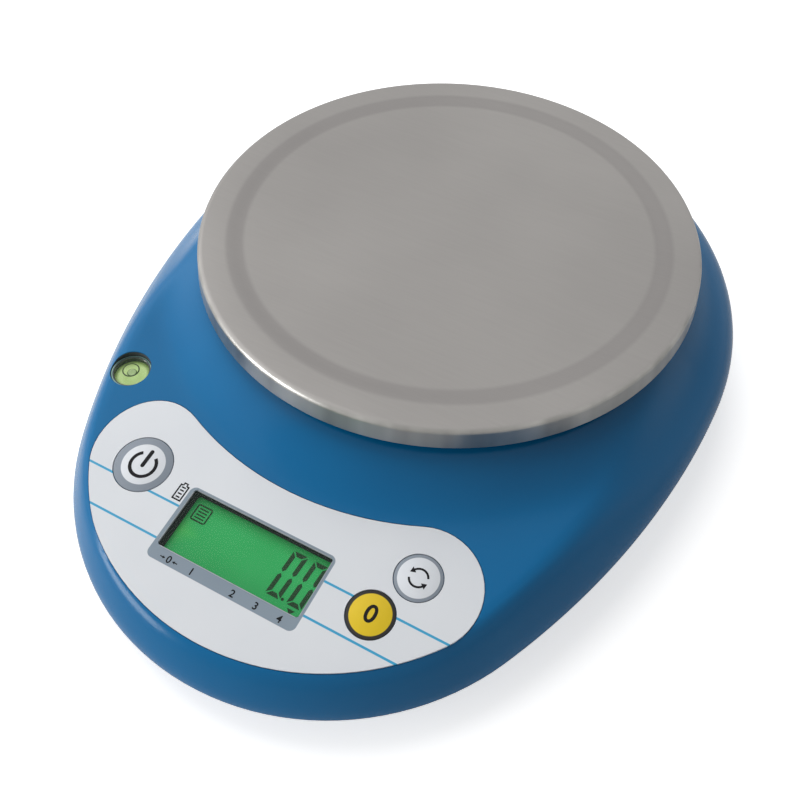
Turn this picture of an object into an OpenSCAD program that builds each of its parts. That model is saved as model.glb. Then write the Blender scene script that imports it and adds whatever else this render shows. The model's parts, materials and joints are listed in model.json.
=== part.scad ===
// Compact balance: a moulded housing round a load cell, with a lift-off pan, a control panel with three keys,
// a display, a bubble level and four levelling feet.
// The row frame has its origin under the middle of the outline, on the table, with the front towards -Y.

/* [Pan] */
// Diameter of the pan
pan_d = 146; // [140:1:150]
// Height of the pan's top above the table
pan_top = 49; // [48.6:0.1:50]
// Depth of the pan's skirt
pan_skirt = 6.6; // [6:0.1:7.4]
// Sheet thickness of the pan
pan_sheet = 0.8; // [0.6:0.1:1]
// Radius of the pan's rolled edge
pan_edge_r = 1.8; // [1.4:0.1:2.6]
// How far the skirt flares out at its foot
pan_flare = 0.6; // [0:0.1:1]
// Diameter of the pressed floor of the pan
pan_floor_d = 119; // [110:1:122]
// Depth of the pressed floor
pan_floor_drop = 0.5; // [0.2:0.1:0.6]

/* [Housing outline] */
// Width of the body
body_w = 178; // [174:1:182]
// Distance from the pan's axis to the front tip
front_reach = 139; // [136:1:142]
// Radius of the long side arcs of the outline
side_r = 225; // [215:1:235]

/* [Housing section] */
// Wall thickness of both housings
wall = 2.4; // [2.1:0.1:2.6]
// Height of the widest line above the table, beside the pan's axis
rim_z = 18.5; // [18:0.1:20.5]
// Rise of the widest line towards the back, in degrees
rim_tilt = 3.15; // [2.8:0.05:3.4]
// Radius of the rounding above the widest line
bead_r = 8.5; // [7.5:0.1:9.5]
// Width of the shoulder from the widest line to the deck, at the front
shoulder_front_w = 6.5; // [6:0.1:7]
// Width of that shoulder beside the pan
shoulder_side_w = 22; // [18:0.5:26]
// Height of the plateau under the pan
plateau_z = 39.6; // [39:0.1:40]
// Radius at which the plateau starts to fall
plateau_r = 66; // [64:0.5:68]
// Radius at which its slope meets the deck
plateau_foot_r = 88; // [86:0.5:89]
// Height of the deck beside the pan
side_deck_z = 31.6; // [31:0.1:32.4]
// Slope of the deck beside the pan, in degrees
side_tilt = 0.6; // [0:0.1:1.2]
// Width of the curve under the widest line
tuck_w = 14; // [12:0.5:15]
// Height of the base's flat underside above the table
base_z = 6; // [5.6:0.1:6.4]
// Place of the parting line on the under curve, in degrees below the widest line
seam_angle = 30; // [24:1:36]
// Height of the tongue inside the parting line
tongue_h = 1.8; // [1.2:0.1:2.2]
// Thickness of that tongue
tongue_t = 1.2; // [1:0.1:1.4]
// Radius of the hole that the pan carrier's hub passes through
hub_hole_r = 14; // [13:0.2:16]

/* [Control panel] */
// Slope of the deck, in degrees
deck_tilt = 6.5; // [6:0.1:7]
// Height of the deck at the middle of the panel
deck_z = 26.6; // [26.2:0.1:27.2]
// Distance from the pan's axis to the middle of the panel
panel_reach = 105; // [104:0.5:106]
// Thickness of the printed panel
panel_t = 0.6; // [0.4:0.1:0.8]
// Distance from the housing's front tip to the panel's front edge, along the deck
panel_margin = 6.6; // [6.3:0.1:8]
// Radius of the panel's back edge, about the pan's axis
panel_back_r = 89.2; // [89:0.2:92]
// Radius of the panel's two lobes
panel_lobe_r = 16; // [15:0.2:17]
// Radius of the power key
power_r = 8.05; // [7:0.05:8.5]
// Radius of the two smaller keys
small_key_r = 6.15; // [5.5:0.05:6.6]
// Key travel
key_travel = 0.35; // [0.25:0.05:0.5]
// Thickness of a key's cap
key_cap_t = 0.6; // [0.4:0.1:0.8]
// Radius of a key's stem
key_stem_r = 2; // [1.6:0.1:2.4]

/* [Display] */
// Width of the display window
window_w = 42; // [38:0.5:43]
// Height of the display window
window_h = 17; // [15:0.2:17.4]
// Corner radius of the window
window_corner = 1.2; // [0.6:0.1:2]
// Size of the display glass beyond the window, on each side
glass_border = 3; // [2.5:0.1:4]
// Thickness of the display glass
glass_t = 2.4; // [2:0.1:2.8]
// Thickness of the backlight
backlight_t = 3; // [2:0.1:3.4]

/* [Level] */
// Radius of the round opening that holds the level
level_hole_r = 5.9; // [5:0.1:6.4]
// Wall of the level's cup
level_wall = 0.9; // [0.7:0.1:1.1]
// Height of the level's cup
level_h = 8.5; // [7:0.5:9]
// Thickness of the level's lens
level_lens_t = 1.2; // [0.8:0.1:1.6]
// Radius of the bubble
bubble_r = 1.5; // [1:0.1:2]

/* [Load cell] */
// Length of the load cell beam
beam_l = 80; // [74:1:84]
// Width of the beam
beam_w = 12.7; // [12:0.1:14]
// Height of the beam
beam_h = 12.7; // [12:0.1:13]
// Height of the beam's underside above the table
beam_z = 14; // [13.6:0.1:14.4]
// Radius of the two big holes that make the beam bend
flexure_r = 4.6; // [4:0.1:5]
// Distance between those holes
flexure_gap = 18; // [14:0.5:20]
// How far the pan sinks at full load
load_travel = 0.35; // [0.2:0.05:0.4]
// Distance between the two screws at each end of the beam
beam_screw_gap = 10; // [9:0.5:12]
// Radius of the beam's screws
beam_screw_r = 2; // [1.8:0.05:2.2]

/* [Battery bay] */
// Diameter of a cell
cell_d = 14.3; // [13.9:0.1:14.4]
// Length of a cell's can
cell_l = 49.2; // [48:0.2:50]
// Number of cells side by side
cells = 4; // [3:1:4]
// Distance from the pan's axis to the bay's back wall
bay_back = 20.6; // [20:0.2:22]
// Thickness of the battery door
door_t = 1.8; // [1.5:0.1:2]
// How far the battery door swings
door_swing = 75; // [45:5:80]

/* [Feet] */
// Diameter of a foot's knurled disc
foot_d = 17; // [15:0.5:18]
// Thickness of that disc
foot_disc_t = 3; // [2.4:0.1:3.2]
// Height of the rubber pad under it
foot_pad_h = 2; // [1.6:0.1:2.4]
// Radius of a foot's screw
foot_screw_r = 3; // [2.5:0.1:3.4]
// How far a foot screws out
foot_travel = 4; // [3:0.5:5]
// Half the distance between the front feet
front_foot_x = 42; // [40:0.5:44]
// Half the distance between the rear feet
rear_foot_x = 46; // [44:0.5:48]

/* [Clearances] */
// Gap round a shaft that turns or slides in its hole
running_gap = 0.05; // [0.03:0.01:0.09]
// Gap between a piece and the opening it sits in
seat_gap = 0.2; // [0.15:0.05:0.25]
// Gap round pieces that move
moving_gap = 0.3; // [0.25:0.05:0.4]

/* [Hidden] */
eps = 0.01;
$fn = 48;
// Straight steps round the moulded skins
turns = 96;

// The outline is an egg of three tangent arcs, given from the pan's axis
rear_r = body_w / 2;
pan_y = (front_reach - rear_r) / 2;
front_r = (side_r^2 - (side_r - rear_r)^2 - front_reach^2) / (2 * (side_r - front_reach));
side_c = [rear_r - side_r, 0];
front_c = [0, front_r - front_reach];
arc_join = front_c + front_r * (front_c - side_c) / norm(front_c - side_c);
rear_arc = [[0, 0], rear_r];
front_arc = [front_c, front_r];
side_arc = [side_c, side_r];

function fold(p) = [abs(p.x), p.y];
function arc_at(q) = q.y >= 0 ? rear_arc
  : cross(front_c - side_c, q - front_c) < 0 ? front_arc : side_arc;
function arc_towards(q) = q.y >= 0 ? rear_arc : cross(arc_join, q) < 0 ? front_arc : side_arc;
function reach(dir) = let(q = fold(dir), a = arc_towards(q), t = q * a[0])
  t + sqrt(t^2 - a[0] * a[0] + a[1]^2);
function depth(p) = let(q = fold(p), a = arc_at(q)) a[1] - norm(q - a[0]);
function slant(dir) = let(q = fold(dir), a = arc_towards(q)) (q * reach(dir) - a[0]) * q / a[1];

// The skin's heights: rim, shoulder, deck, and the plateau that rises from it round the pan's axis
function ease(s) = s <= 0 ? 0 : s >= 1 ? 1 : 0.5 - 0.5 * cos(180 * s);
function round_off(t) = t <= 0 ? 0 : t >= 1 ? 1 : sqrt(1 - (1 - t)^2);
function soft_min(a, b, k) = let(h = max(k - abs(a - b), 0) / k) min(a, b) - h^2 * k / 4;
function rim_h(y) = rim_z + tan(rim_tilt) * y;
function shoulder_w(y) = shoulder_front_w
  + (shoulder_side_w - shoulder_front_w) * min(1, (y + front_reach) / front_reach)^2;
function deck_h(y) = deck_z + tan(deck_tilt) * (y + panel_reach);
deck_blend = 2;
function top_h(p) = let(d = soft_min(deck_h(p.y), side_deck_z + tan(side_tilt) * p.y, deck_blend))
  d + (plateau_z - d) * ease((plateau_foot_r - norm(p)) / (plateau_foot_r - plateau_r));
function crown(p) = (top_h(p) - rim_h(p.y) - bead_r) * ease(depth(p) / shoulder_w(p.y));
function outer_h(p) = rim_h(p.y) + bead_r * round_off(depth(p) / bead_r) + crown(p);
inner_bead_r = bead_r - wall;
function inner_h(p) = rim_h(p.y) + inner_bead_r * round_off((depth(p) - wall) / inner_bead_r) + crown(p);
function tuck(a) = tuck_w * (1 - cos(a));
function under_h(y, a) = rim_h(y) - (rim_h(y) - base_z) * sin(a);
floor_z = base_z + wall;
function floor_h(y, d) = rim_h(y) - (rim_h(y) - floor_z) * round_off((d - wall) / tuck_w);

// Rings of points round the pan's axis, at an inset from the outline or at a share of the way in
function ray(i) = [cos(i * 360 / turns), sin(i * 360 / turns)];
function inset_point(i, e) = let(d = ray(i)) d * (reach(d) - e / slant(d));
function inward_point(i, share) = let(d = ray(i), far = reach(d) - bead_r / slant(d))
  d * (far + (skin_hole_r - far) * share);
function above(p, h) = [p.x, p.y, h];
around = [0:turns - 1];
function under_ring(a, e, lift = 0) = [for (i = around) let(p = inset_point(i, tuck(a) + e))
  above(p, under_h(p.y, a) + lift)];
function outer_rim_ring(a) = [for (i = around)
  let(p = inset_point(i, bead_r * (1 - cos(a)))) above(p, outer_h(p))];
function outer_ring(share) = [for (i = around) let(p = inward_point(i, share)) above(p, outer_h(p))];
function inner_rim_ring(a) = [for (i = around)
  let(p = inset_point(i, wall + inner_bead_r * (1 - cos(a)))) above(p, inner_h(p))];
function inner_ring(share) = [for (i = around) let(p = inward_point(i, share)) above(p, inner_h(p))];
function floor_ring(e) = [for (i = around) let(p = inset_point(i, e)) above(p, floor_h(p.y, depth(p)))];
function flat(lists) = [for (l = lists, p = l) p];
function quads(n, closed) = flat([for (k = [0:n - (closed ? 1 : 2)], i = around)
  let(j = (i + 1) % turns, a = k * turns, b = ((k + 1) % n) * turns)
    [[a + i, b + j, a + j], [a + i, b + i, b + j]]]);
skin_hole_r = hub_hole_r - 2;
rim_steps = 8;
deck_steps = 14;
inner_steps = 8;
seam_inset = wall + seat_gap;

// The upper skin is a closed sleeve of rings: outside from the parting line to the hub hole, then back inside
module upper_skin() {
  rings = concat(
    [under_ring(seam_angle, 0), under_ring(seam_angle / 2, 0)],
    [for (k = [0:rim_steps]) outer_rim_ring(k * 90 / rim_steps)],
    [for (k = [1:deck_steps]) outer_ring(k / deck_steps)],
    [for (k = [inner_steps:-1:0]) inner_ring(k / inner_steps)],
    [for (k = [4:-1:0]) inner_rim_ring(k * 90 / 5)],
    [under_ring(seam_angle, wall)]);
  polyhedron(points = flat(rings), faces = quads(len(rings), true));
}

// The lower skin is a dish with a tongue that stands inside the upper skin's wall
seam_gap = 0.12;
module lower_skin() {
  tongue_in = tuck(seam_angle) + seam_inset + tongue_t;
  floor_run = wall + tuck_w - tongue_in;
  floor_steps = 5;
  outside = [for (k = [0:floor_steps]) let(a = 90 - k * (90 - seam_angle) / floor_steps)
    under_ring(a, 0, k == floor_steps ? -seam_gap : 0)];
  tongue = [under_ring(seam_angle, seam_inset, -seam_gap), under_ring(seam_angle, seam_inset, tongue_h),
    under_ring(seam_angle, seam_inset + tongue_t, tongue_h)];
  inside = [for (k = [0:floor_steps]) floor_ring(tongue_in + floor_run * ease(k / floor_steps))];
  rings = concat(outside, tongue, inside);
  last = (len(rings) - 1) * turns;
  polyhedron(points = flat(rings), faces = concat(quads(len(rings), false),
    [[for (i = around) i]], [[for (i = [turns - 1:-1:0]) last + i]]));
}

// Frames: the pan's axis on the table, and the middle of the panel on the sloping deck
module on_pan() translate([0, pan_y, 0]) children();
module on_deck() translate([0, pan_y - panel_reach, deck_z]) rotate([deck_tilt, 0, 0]) children();
module mirrored() {
  children();
  mirror([1, 0, 0]) children();
}
module rod(r, z0, z1) translate([0, 0, z0]) cylinder(r = r, h = z1 - z0);
module tube(r_out, r_in, z0, z1) difference() {
  rod(r_out, z0, z1);
  rod(r_in, z0 - eps, z1 + eps);
}
module rounded_rect(w, h, r) {
  square([w - 2 * r, h], center = true);
  square([w, h - 2 * r], center = true);
  for (x = [-1, 1], y = [-1, 1]) translate([x * (w / 2 - r), y * (h / 2 - r)]) circle(r);
}
module along_x(r, x0, x1) translate([x0, 0, 0]) rotate([0, 90, 0]) cylinder(r = r, h = x1 - x0);
module along_y(r, y0, y1, z) translate([0, y1, z]) rotate([90, 0, 0]) cylinder(r = r, h = y1 - y0);
module block(x, y, z) translate([x[0], y[0], z[0]]) cube([x[1] - x[0], y[1] - y[0], z[1] - z[0]]);

// The pan: a revolved sheet with a rolled edge, a flared skirt and a pressed floor
pan_r = pan_d / 2;
pan_floor_r = pan_floor_d / 2;
pan_step_w = 5.5;
edge_steps = 8;
pan_foot = pan_top - pan_skirt;
function pan_edge(r, top, bend, from, to, n) = [for (k = [0:n]) let(a = from + (to - from) * k / n)
  [r - bend + bend * cos(a), top - bend + bend * sin(a)]];
module pan_profile() {
  inside_r = pan_edge_r - pan_sheet;
  polygon(concat([[0, pan_top - pan_floor_drop], [pan_floor_r, pan_top - pan_floor_drop],
      [pan_floor_r + pan_step_w, pan_top]],
    pan_edge(pan_r, pan_top, pan_edge_r, 90, 0, edge_steps),
    [[pan_r + pan_flare, pan_foot], [pan_r + pan_flare - pan_sheet, pan_foot]],
    pan_edge(pan_r - pan_sheet, pan_top - pan_sheet, inside_r, 0, 90, edge_steps),
    [[pan_floor_r + pan_step_w, pan_top - pan_sheet], [pan_floor_r, pan_top - pan_floor_drop - pan_sheet],
      [0, pan_top - pan_floor_drop - pan_sheet]]));
}
module pan() color("silver") on_pan() rotate_extrude($fn = 120) pan_profile();

// The carrier: a moulded spider under the pan, with a hub down to the load cell's plate
pad_t = 1;
pad_r = 5;
pad_reach = 48;
pad_seat = pan_top - pan_floor_drop - pan_sheet - pad_t;
spider_t = 3;
spider_z = pad_seat - spider_t;
hub_r = 11;
arm_w = 12;
arm_tip_gap = 0.8;
arm_reach = pan_r - pan_sheet - arm_tip_gap;
rim_ring_w = 4;
plate_t = 2;
plate_rise = 1.3;
plate_z = beam_z + beam_h + plate_rise;
plate_top = plate_z + plate_t;
arm_lip = 1.2;
lip_t = 2;
spider_disc_r = 23;
carrier_screw_x = 6;
carrier_screw_r = 1.5;
carrier_head_r = 3;
carrier_head_h = 2;
carrier_head_top = pad_seat - seat_gap;
slot_w = 0.8;
module pan_carrier() color("dimgray") on_pan() difference() {
  union() {
    rod(hub_r, plate_top, pad_seat);
    rod(spider_disc_r, spider_z, pad_seat);
    tube(pad_reach + pad_r + rim_ring_w, pad_reach + pad_r, spider_z, pad_seat);
    intersection() {
      rod(arm_reach, spider_z, pad_seat);
      for (a = [45, 135]) rotate(a)
        block([-arm_reach, arm_reach], [-arm_w / 2, arm_w / 2], [spider_z, pad_seat]);
    }
    for (a = [0:90:270]) rotate(a) block([-lip_t / 2, lip_t / 2], [0, pad_reach + pad_r],
      [spider_z - arm_lip, pad_seat - arm_lip]);
  }
  for (x = [-1, 1]) translate([x * carrier_screw_x, 0, 0]) {
    rod(carrier_screw_r + seat_gap, plate_top - eps, pad_seat + eps);
    rod(carrier_head_r + moving_gap, carrier_head_top - carrier_head_h, pad_seat + eps);
  }
}
module carrier_screws() color("gainsboro") on_pan() for (x = [-1, 1]) translate([x * carrier_screw_x, 0, 0]) {
  rod(carrier_screw_r, plate_z, carrier_head_top - carrier_head_h + eps);
  difference() {
    rod(carrier_head_r, carrier_head_top - carrier_head_h, carrier_head_top);
    block([-carrier_head_r, carrier_head_r], [-slot_w / 2, slot_w / 2],
      [carrier_head_top - slot_w, pad_seat]);
  }
}
module carrier_pads() color("black") on_pan() for (a = [45:90:315]) rotate(a)
  translate([pad_reach, 0, 0]) rod(pad_r, pad_seat, pad_seat + pad_t);

// The load cell: a drilled aluminium beam, fixed at its left end and free at its right end
beam_top = beam_z + beam_h;
beam_end = beam_l / 2;
screw_from_end = 5;
inner_screw = beam_end - screw_from_end - beam_screw_gap;
beam_screw_xs = [beam_end - screw_from_end, inner_screw];
beam_mid = beam_z + beam_h / 2;
flexure_slot = 3;
module load_cell() color("silver") on_pan() difference() {
  block([-beam_end, beam_end], [-beam_w / 2, beam_w / 2], [beam_z, beam_top]);
  for (x = [-1, 1]) translate([x * flexure_gap / 2, 0, 0]) along_y(flexure_r, -beam_w, beam_w, beam_mid);
  block([-flexure_gap / 2, flexure_gap / 2], [-beam_w, beam_w],
    [beam_mid - flexure_slot / 2, beam_mid + flexure_slot / 2]);
  for (x = beam_screw_xs, s = [-1, 1]) translate([s * x, 0, 0])
    rod(beam_screw_r + running_gap, beam_z - 1, beam_top + 1);
}
gauge_t = 0.6;
gauge_hl = flexure_gap / 2 + 4;
gauge_hw = beam_w / 2 - 1;
module gauge_cover() color("white") on_pan() for (z = [beam_z - gauge_t, beam_top])
  block([-gauge_hl, gauge_hl], [-gauge_hw, gauge_hw], [z, z + gauge_t]);

// The plate on the beam's free end brings the load back to the pan's axis
plate_left = -12;
plate_hw = beam_w / 2 + 4;
free_x = inner_screw - screw_from_end;
module load_plate() color("lightgray") on_pan() difference() {
  union() {
    block([plate_left, beam_end], [-plate_hw, plate_hw], [plate_z, plate_top]);
    block([free_x, beam_end], [-beam_w / 2, beam_w / 2], [beam_top, plate_z + eps]);
  }
  for (x = beam_screw_xs) translate([x, 0, 0]) rod(beam_screw_r + seat_gap, beam_top - 1, plate_top + 1);
  for (x = [-1, 1]) translate([x * carrier_screw_x, 0, 0])
    rod(carrier_screw_r + running_gap, plate_z - 1, plate_top + 1);
}
beam_head_r = 3.6;
beam_head_h = 2.6;
beam_grip = 8;
socket_r = 1.8;
socket_h = 1.4;
module hex_socket(z) translate([0, 0, z]) cylinder(r = socket_r, h = socket_h + eps, $fn = 6);
module load_plate_screws() color("gainsboro") on_pan() for (x = beam_screw_xs) translate([x, 0, 0]) {
  rod(beam_screw_r, beam_top - beam_grip, plate_top);
  difference() {
    rod(beam_head_r, plate_top, plate_top + beam_head_h);
    hex_socket(plate_top + beam_head_h - socket_h);
  }
}
base_plate_t = 1;
pedestal_z = beam_z - base_plate_t;
pedestal_x = [-beam_end - 1, -free_x + 1];
pedestal_hw = beam_w / 2 + 2;
module beam_base_plate() color("lightgray") on_pan() difference() {
  block([pedestal_x[0] + 1, pedestal_x[1] - 1], [-beam_w / 2, beam_w / 2], [pedestal_z, beam_z]);
  for (x = beam_screw_xs) translate([-x, 0, 0]) rod(beam_screw_r + seat_gap, pedestal_z - 1, beam_z + 1);
}
beam_head_sink = 0.8;
beam_head_seat = base_z + beam_head_h + beam_head_sink;
module beam_screws() color("gainsboro") on_pan() for (x = beam_screw_xs) translate([-x, 0, 0]) {
  rod(beam_screw_r, beam_head_seat, beam_z + beam_grip);
  difference() {
    rod(beam_head_r, beam_head_seat - beam_head_h, beam_head_seat);
    hex_socket(beam_head_seat - beam_head_h - eps);
  }
}
stop_r = 2.5;
stop_boss_r = 5;
stop_boss_top = 12;
stop_x = inner_screw;
stop_top = beam_z - load_travel - seat_gap;
module overload_stop() color("goldenrod") on_pan() translate([stop_x, 0, 0]) difference() {
  rod(stop_r, floor_z, stop_top);
  block([-stop_r - 1, stop_r + 1], [-slot_w / 2, slot_w / 2], [stop_top - slot_w, stop_top + 1]);
}

// Bosses for the six housing screws: place from the pan's axis, height of the split, height of the seat
screw_sites = [[31, 21 - front_reach, 14, 10], [rear_r - 33, -27, 22, 15], [24, rear_r - 32, 22, 15]];
boss_r = 5;
upper_boss_r = 4;
case_screw_r = 1.25;
case_head_r = 2.8;
case_head_h = 2;
case_screw_l = 8;
cross_l = 1.6;
module at_screws() for (m = [1, -1], s = screw_sites)
  let($split = s[2], $seat = s[3], $top = inner_h([s.x, s.y])) translate([m * s.x, s.y, 0]) children();
module housing_screws() color("dimgray") on_pan() at_screws() {
  rod(case_screw_r, $seat - eps, $split + case_screw_l - 1);
  difference() {
    rod(case_head_r, $seat - case_head_h, $seat);
    for (a = [0, 90]) rotate(a) block([-cross_l, cross_l], [-slot_w / 2, slot_w / 2],
      [$seat - case_head_h - 1, $seat - case_head_h + slot_w]);
  }
}

// The panel's outline: its back edge is an arc about the pan's axis and its front edge one about the front
// arc's centre, with a lobe at each end that is tangent to both
deck_len = 1 / cos(deck_tilt);
panel_pan_c = [0, panel_reach * deck_len];
panel_front_c = [0, (panel_reach + front_c.y) * deck_len];
panel_front_r = (front_reach - panel_reach) * deck_len + panel_front_c.y - panel_margin;
back_to_lobe = panel_back_r + panel_lobe_r;
front_to_lobe = panel_front_r - panel_lobe_r;
centres_apart = panel_pan_c.y - panel_front_c.y;
lobe_drop = (back_to_lobe^2 - front_to_lobe^2 + centres_apart^2) / (2 * centres_apart);
lobe_c = [sqrt(back_to_lobe^2 - lobe_drop^2), panel_pan_c.y - lobe_drop];
front_side = atan2(lobe_c.y - panel_front_c.y, lobe_c.x);
back_side = atan2(lobe_c.y - panel_pan_c.y, lobe_c.x);
function arc(c, r, from, to, n) = [for (k = [0:n])
  let(a = from + (to - from) * k / n) c + r * [cos(a), sin(a)]];
module panel_outline(grow = 0) {
  lobe_r = panel_lobe_r + grow;
  polygon(concat(
    arc(lobe_c, lobe_r, front_side, back_side + 180, 20),
    arc(panel_pan_c, panel_back_r - grow, back_side, -180 - back_side, 20),
    arc([-lobe_c.x, lobe_c.y], lobe_r, -back_side, 180 - front_side, 20),
    arc(panel_front_c, panel_front_r + grow, 180 - front_side, 360 + front_side, 40)));
}
window_c = [-1.4, -2.7];
power_c = [2.4 - lobe_c.x, lobe_c.y - 3.6];
mode_c = lobe_c + [-1.1, 2.1];
zero_c = lobe_c - [7, 11.4];
keys = [[power_c, power_r], [mode_c, small_key_r], [zero_c, small_key_r]];
module control_overlay() color("white") on_deck() translate([0, 0, -panel_t])
  linear_extrude(panel_t) difference() {
    panel_outline();
    translate(window_c)
      rounded_rect(window_w + 2 * seat_gap, window_h + 2 * seat_gap, window_corner + seat_gap);
    for (k = keys) translate(k[0]) circle(k[1] + seat_gap);
  }

// Keys: a cap level with the panel, and a stem on the switch's plunger
board_top = -9.4;
board_t = 1.6;
switch_h = 3.5;
plunger_r = 1.75;
plunger_out = 0.9;
plunger_in = 1.4;
switch_top = board_top + switch_h;
stem_foot = switch_top + plunger_out;
module key(site, r) on_deck() translate(site) {
  rod(r, -key_cap_t, 0);
  rod(key_stem_r, stem_foot, -key_cap_t + eps);
}
module plunger(site) color("black") on_deck() translate(site)
  rod(plunger_r, switch_top - plunger_in, stem_foot);
module power_key() color("white") key(power_c, power_r);
module mode_key() color("white") key(mode_c, small_key_r);
module zero_key() color("gold") key(zero_c, small_key_r);
module power_plunger() plunger(power_c);
module mode_plunger() plunger(mode_c);
module zero_plunger() plunger(zero_c);
switch_w = 6;
module tact_switches() color("dimgray") on_deck() for (k = keys) translate(k[0]) difference() {
  block([-switch_w / 2, switch_w / 2], [-switch_w / 2, switch_w / 2], [board_top, switch_top]);
  rod(plunger_r + running_gap, switch_top - plunger_in - key_travel - seat_gap, switch_top + 1);
}

// Display: a clear pane in the panel, the glass under the housing's wall, a light guide and a frame
glass_top = -wall - 0.1;
glass_z = glass_top - glass_t;
backlight_z = glass_z - backlight_t;
glass_w = window_w + 2 * glass_border;
glass_h = window_h + 2 * glass_border;
frame_t = 1;
frame_ledge = 3;
module lcd_window() color("lightcyan") on_deck() translate([window_c.x, window_c.y, -panel_t])
  linear_extrude(panel_t) rounded_rect(window_w, window_h, window_corner);
module display_slab(w, h, z0, z1) on_deck() translate([window_c.x, window_c.y, 0])
  block([-w / 2, w / 2], [-h / 2, h / 2], [z0, z1]);
module lcd_panel() color("mediumseagreen") display_slab(glass_w, glass_h, glass_z, glass_top);
module lcd_backlight() color("honeydew") display_slab(glass_w, glass_h, backlight_z, glass_z);
module lcd_holder() color("whitesmoke") difference() {
  display_slab(glass_w + 2 * frame_t, glass_h + 2 * frame_t, board_top, glass_top);
  display_slab(glass_w, glass_h, backlight_z, glass_top + 1);
  display_slab(glass_w - 2 * frame_ledge, glass_h - 2 * frame_ledge, board_top - 1, glass_top);
}

// Circuit board under the deck, hung on four posts of the upper housing
board_u = rear_r - 39;
board_front = -16;
board_back = 18;
board_edge_gap = 6.5;
post_inset = 3;
post_sites = [[post_inset - board_u, 15.5], [board_u - post_inset, 15.5], [-31.3, -1.5], [42, 2.5]];
post_r = 2.8;
board_screw_r = 1;
board_screw_l = 4;
boss_room = 1.2;
front_boss = [screw_sites[0].x, (screw_sites[0].y + panel_reach) * deck_len - boss_room];
module board_outline() difference() {
  intersection() {
    translate([-board_u, board_front]) square([2 * board_u, board_back - board_front]);
    translate(panel_front_c) circle(front_r - bead_r - board_edge_gap, $fn = 120);
  }
  mirrored() translate(front_boss) circle(boss_r + boss_room);
}
module at_posts() for (p = post_sites) translate(p) children();
module main_board() color("darkgreen") on_deck() difference() {
  translate([0, 0, board_top - board_t]) linear_extrude(board_t) board_outline();
  at_posts() rod(board_screw_r + seat_gap, board_top - board_t - 1, board_top + 1);
}
board_head_r = 2;
board_head_h = 1.4;
module board_screws() color("gainsboro") on_deck() at_posts() {
  rod(board_screw_r, board_top - board_t - eps, board_top + board_screw_l);
  rod(board_head_r, board_top - board_t - board_head_h, board_top - board_t);
}
chip_z = board_top - board_t;
socket_y = [11, 16];
cell_socket = [-34, -26];
lead_socket = [-24, -16];
socket_d = 4;
chips = [[[-8, 6], [3, 13], 2], [[14, 22], [2, 9], 1.6], [[-9, -3], [-8, -5], 2.4]];
can_at = [30, 6];
can_r = 2.5;
can_h = 4.5;
module board_parts() on_deck() {
  color("black") for (c = chips) block(c[0], c[1], [chip_z - c[2], chip_z]);
  color("ivory") for (x = [cell_socket, lead_socket]) block(x, socket_y, [chip_z - socket_d, chip_z]);
  color("navy") translate(can_at) rod(can_r, chip_z - can_h, chip_z);
}

// Bubble level: it stands level in a sleeve round the hole in the sloping deck
level_bearing = 231.21;
level_inset = 15.25;
level_ray = [cos(level_bearing), sin(level_bearing)];
level_at = level_ray * (reach(level_ray) - level_inset);
level_floor = 1.2;
level_r = level_hole_r - seat_gap;
level_in_r = level_r - level_wall;
level_sink = 0.3;
function skin_low(r) = min([for (a = [0:30:330]) outer_h(level_at + r * [cos(a), sin(a)])]);
level_top = skin_low(level_hole_r) - level_sink;
level_foot = level_top - level_h;
lens_z = level_top - level_lens_t;
module at_level() on_pan() translate([level_at.x, level_at.y, 0]) children();
module level_cup() color("yellowgreen") at_level() difference() {
  rod(level_r, level_foot, level_top);
  rod(level_in_r, level_foot + level_floor, level_top + 1);
}
module bubble() translate([0, 0, lens_z]) rotate_extrude() intersection() {
  translate([0, -bubble_r / 2]) square([2 * bubble_r, bubble_r]);
  circle(bubble_r);
}
module level_liquid() color("yellow") at_level() difference() {
  rod(level_in_r, level_foot + level_floor, lens_z);
  bubble();
}
module level_lens() color("lightcyan") at_level() rod(level_in_r, lens_z, level_top);

// Adapter inlet at the back, lying in a cradle that is moulded with the base
inlet_r = 3.5;
inlet_bore_r = 2.75;
inlet_pin_r = 1;
inlet_z = 20.5;
inlet_w = 9;
inlet_h = 10;
inlet_l = 11;
inlet_nose = 5;
inlet_end = 3;
inlet_back = rear_r - 2;
inlet_body_y = [inlet_back - inlet_nose - inlet_l, inlet_back - inlet_nose];
cradle_w = 2;
module inlet_body()
  block([-inlet_w / 2, inlet_w / 2], inlet_body_y, [inlet_z - inlet_h / 2, inlet_z + inlet_h / 2]);
module dc_inlet() color("black") on_pan() difference() {
  union() {
    inlet_body();
    along_y(inlet_r, inlet_body_y[1] - eps, inlet_back, inlet_z);
  }
  difference() {
    along_y(inlet_bore_r, inlet_body_y[0] + inlet_end, inlet_back + 1, inlet_z);
    along_y(inlet_pin_r, inlet_body_y[0] + inlet_end - 1, inlet_back - 1, inlet_z);
  }
}
module inlet_cradle() difference() {
  block([-inlet_w / 2 - cradle_w, inlet_w / 2 + cradle_w],
    [inlet_body_y[0] - cradle_w, inlet_body_y[1] - cradle_w], [floor_z - 1, inlet_z]);
  inlet_body();
}

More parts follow.
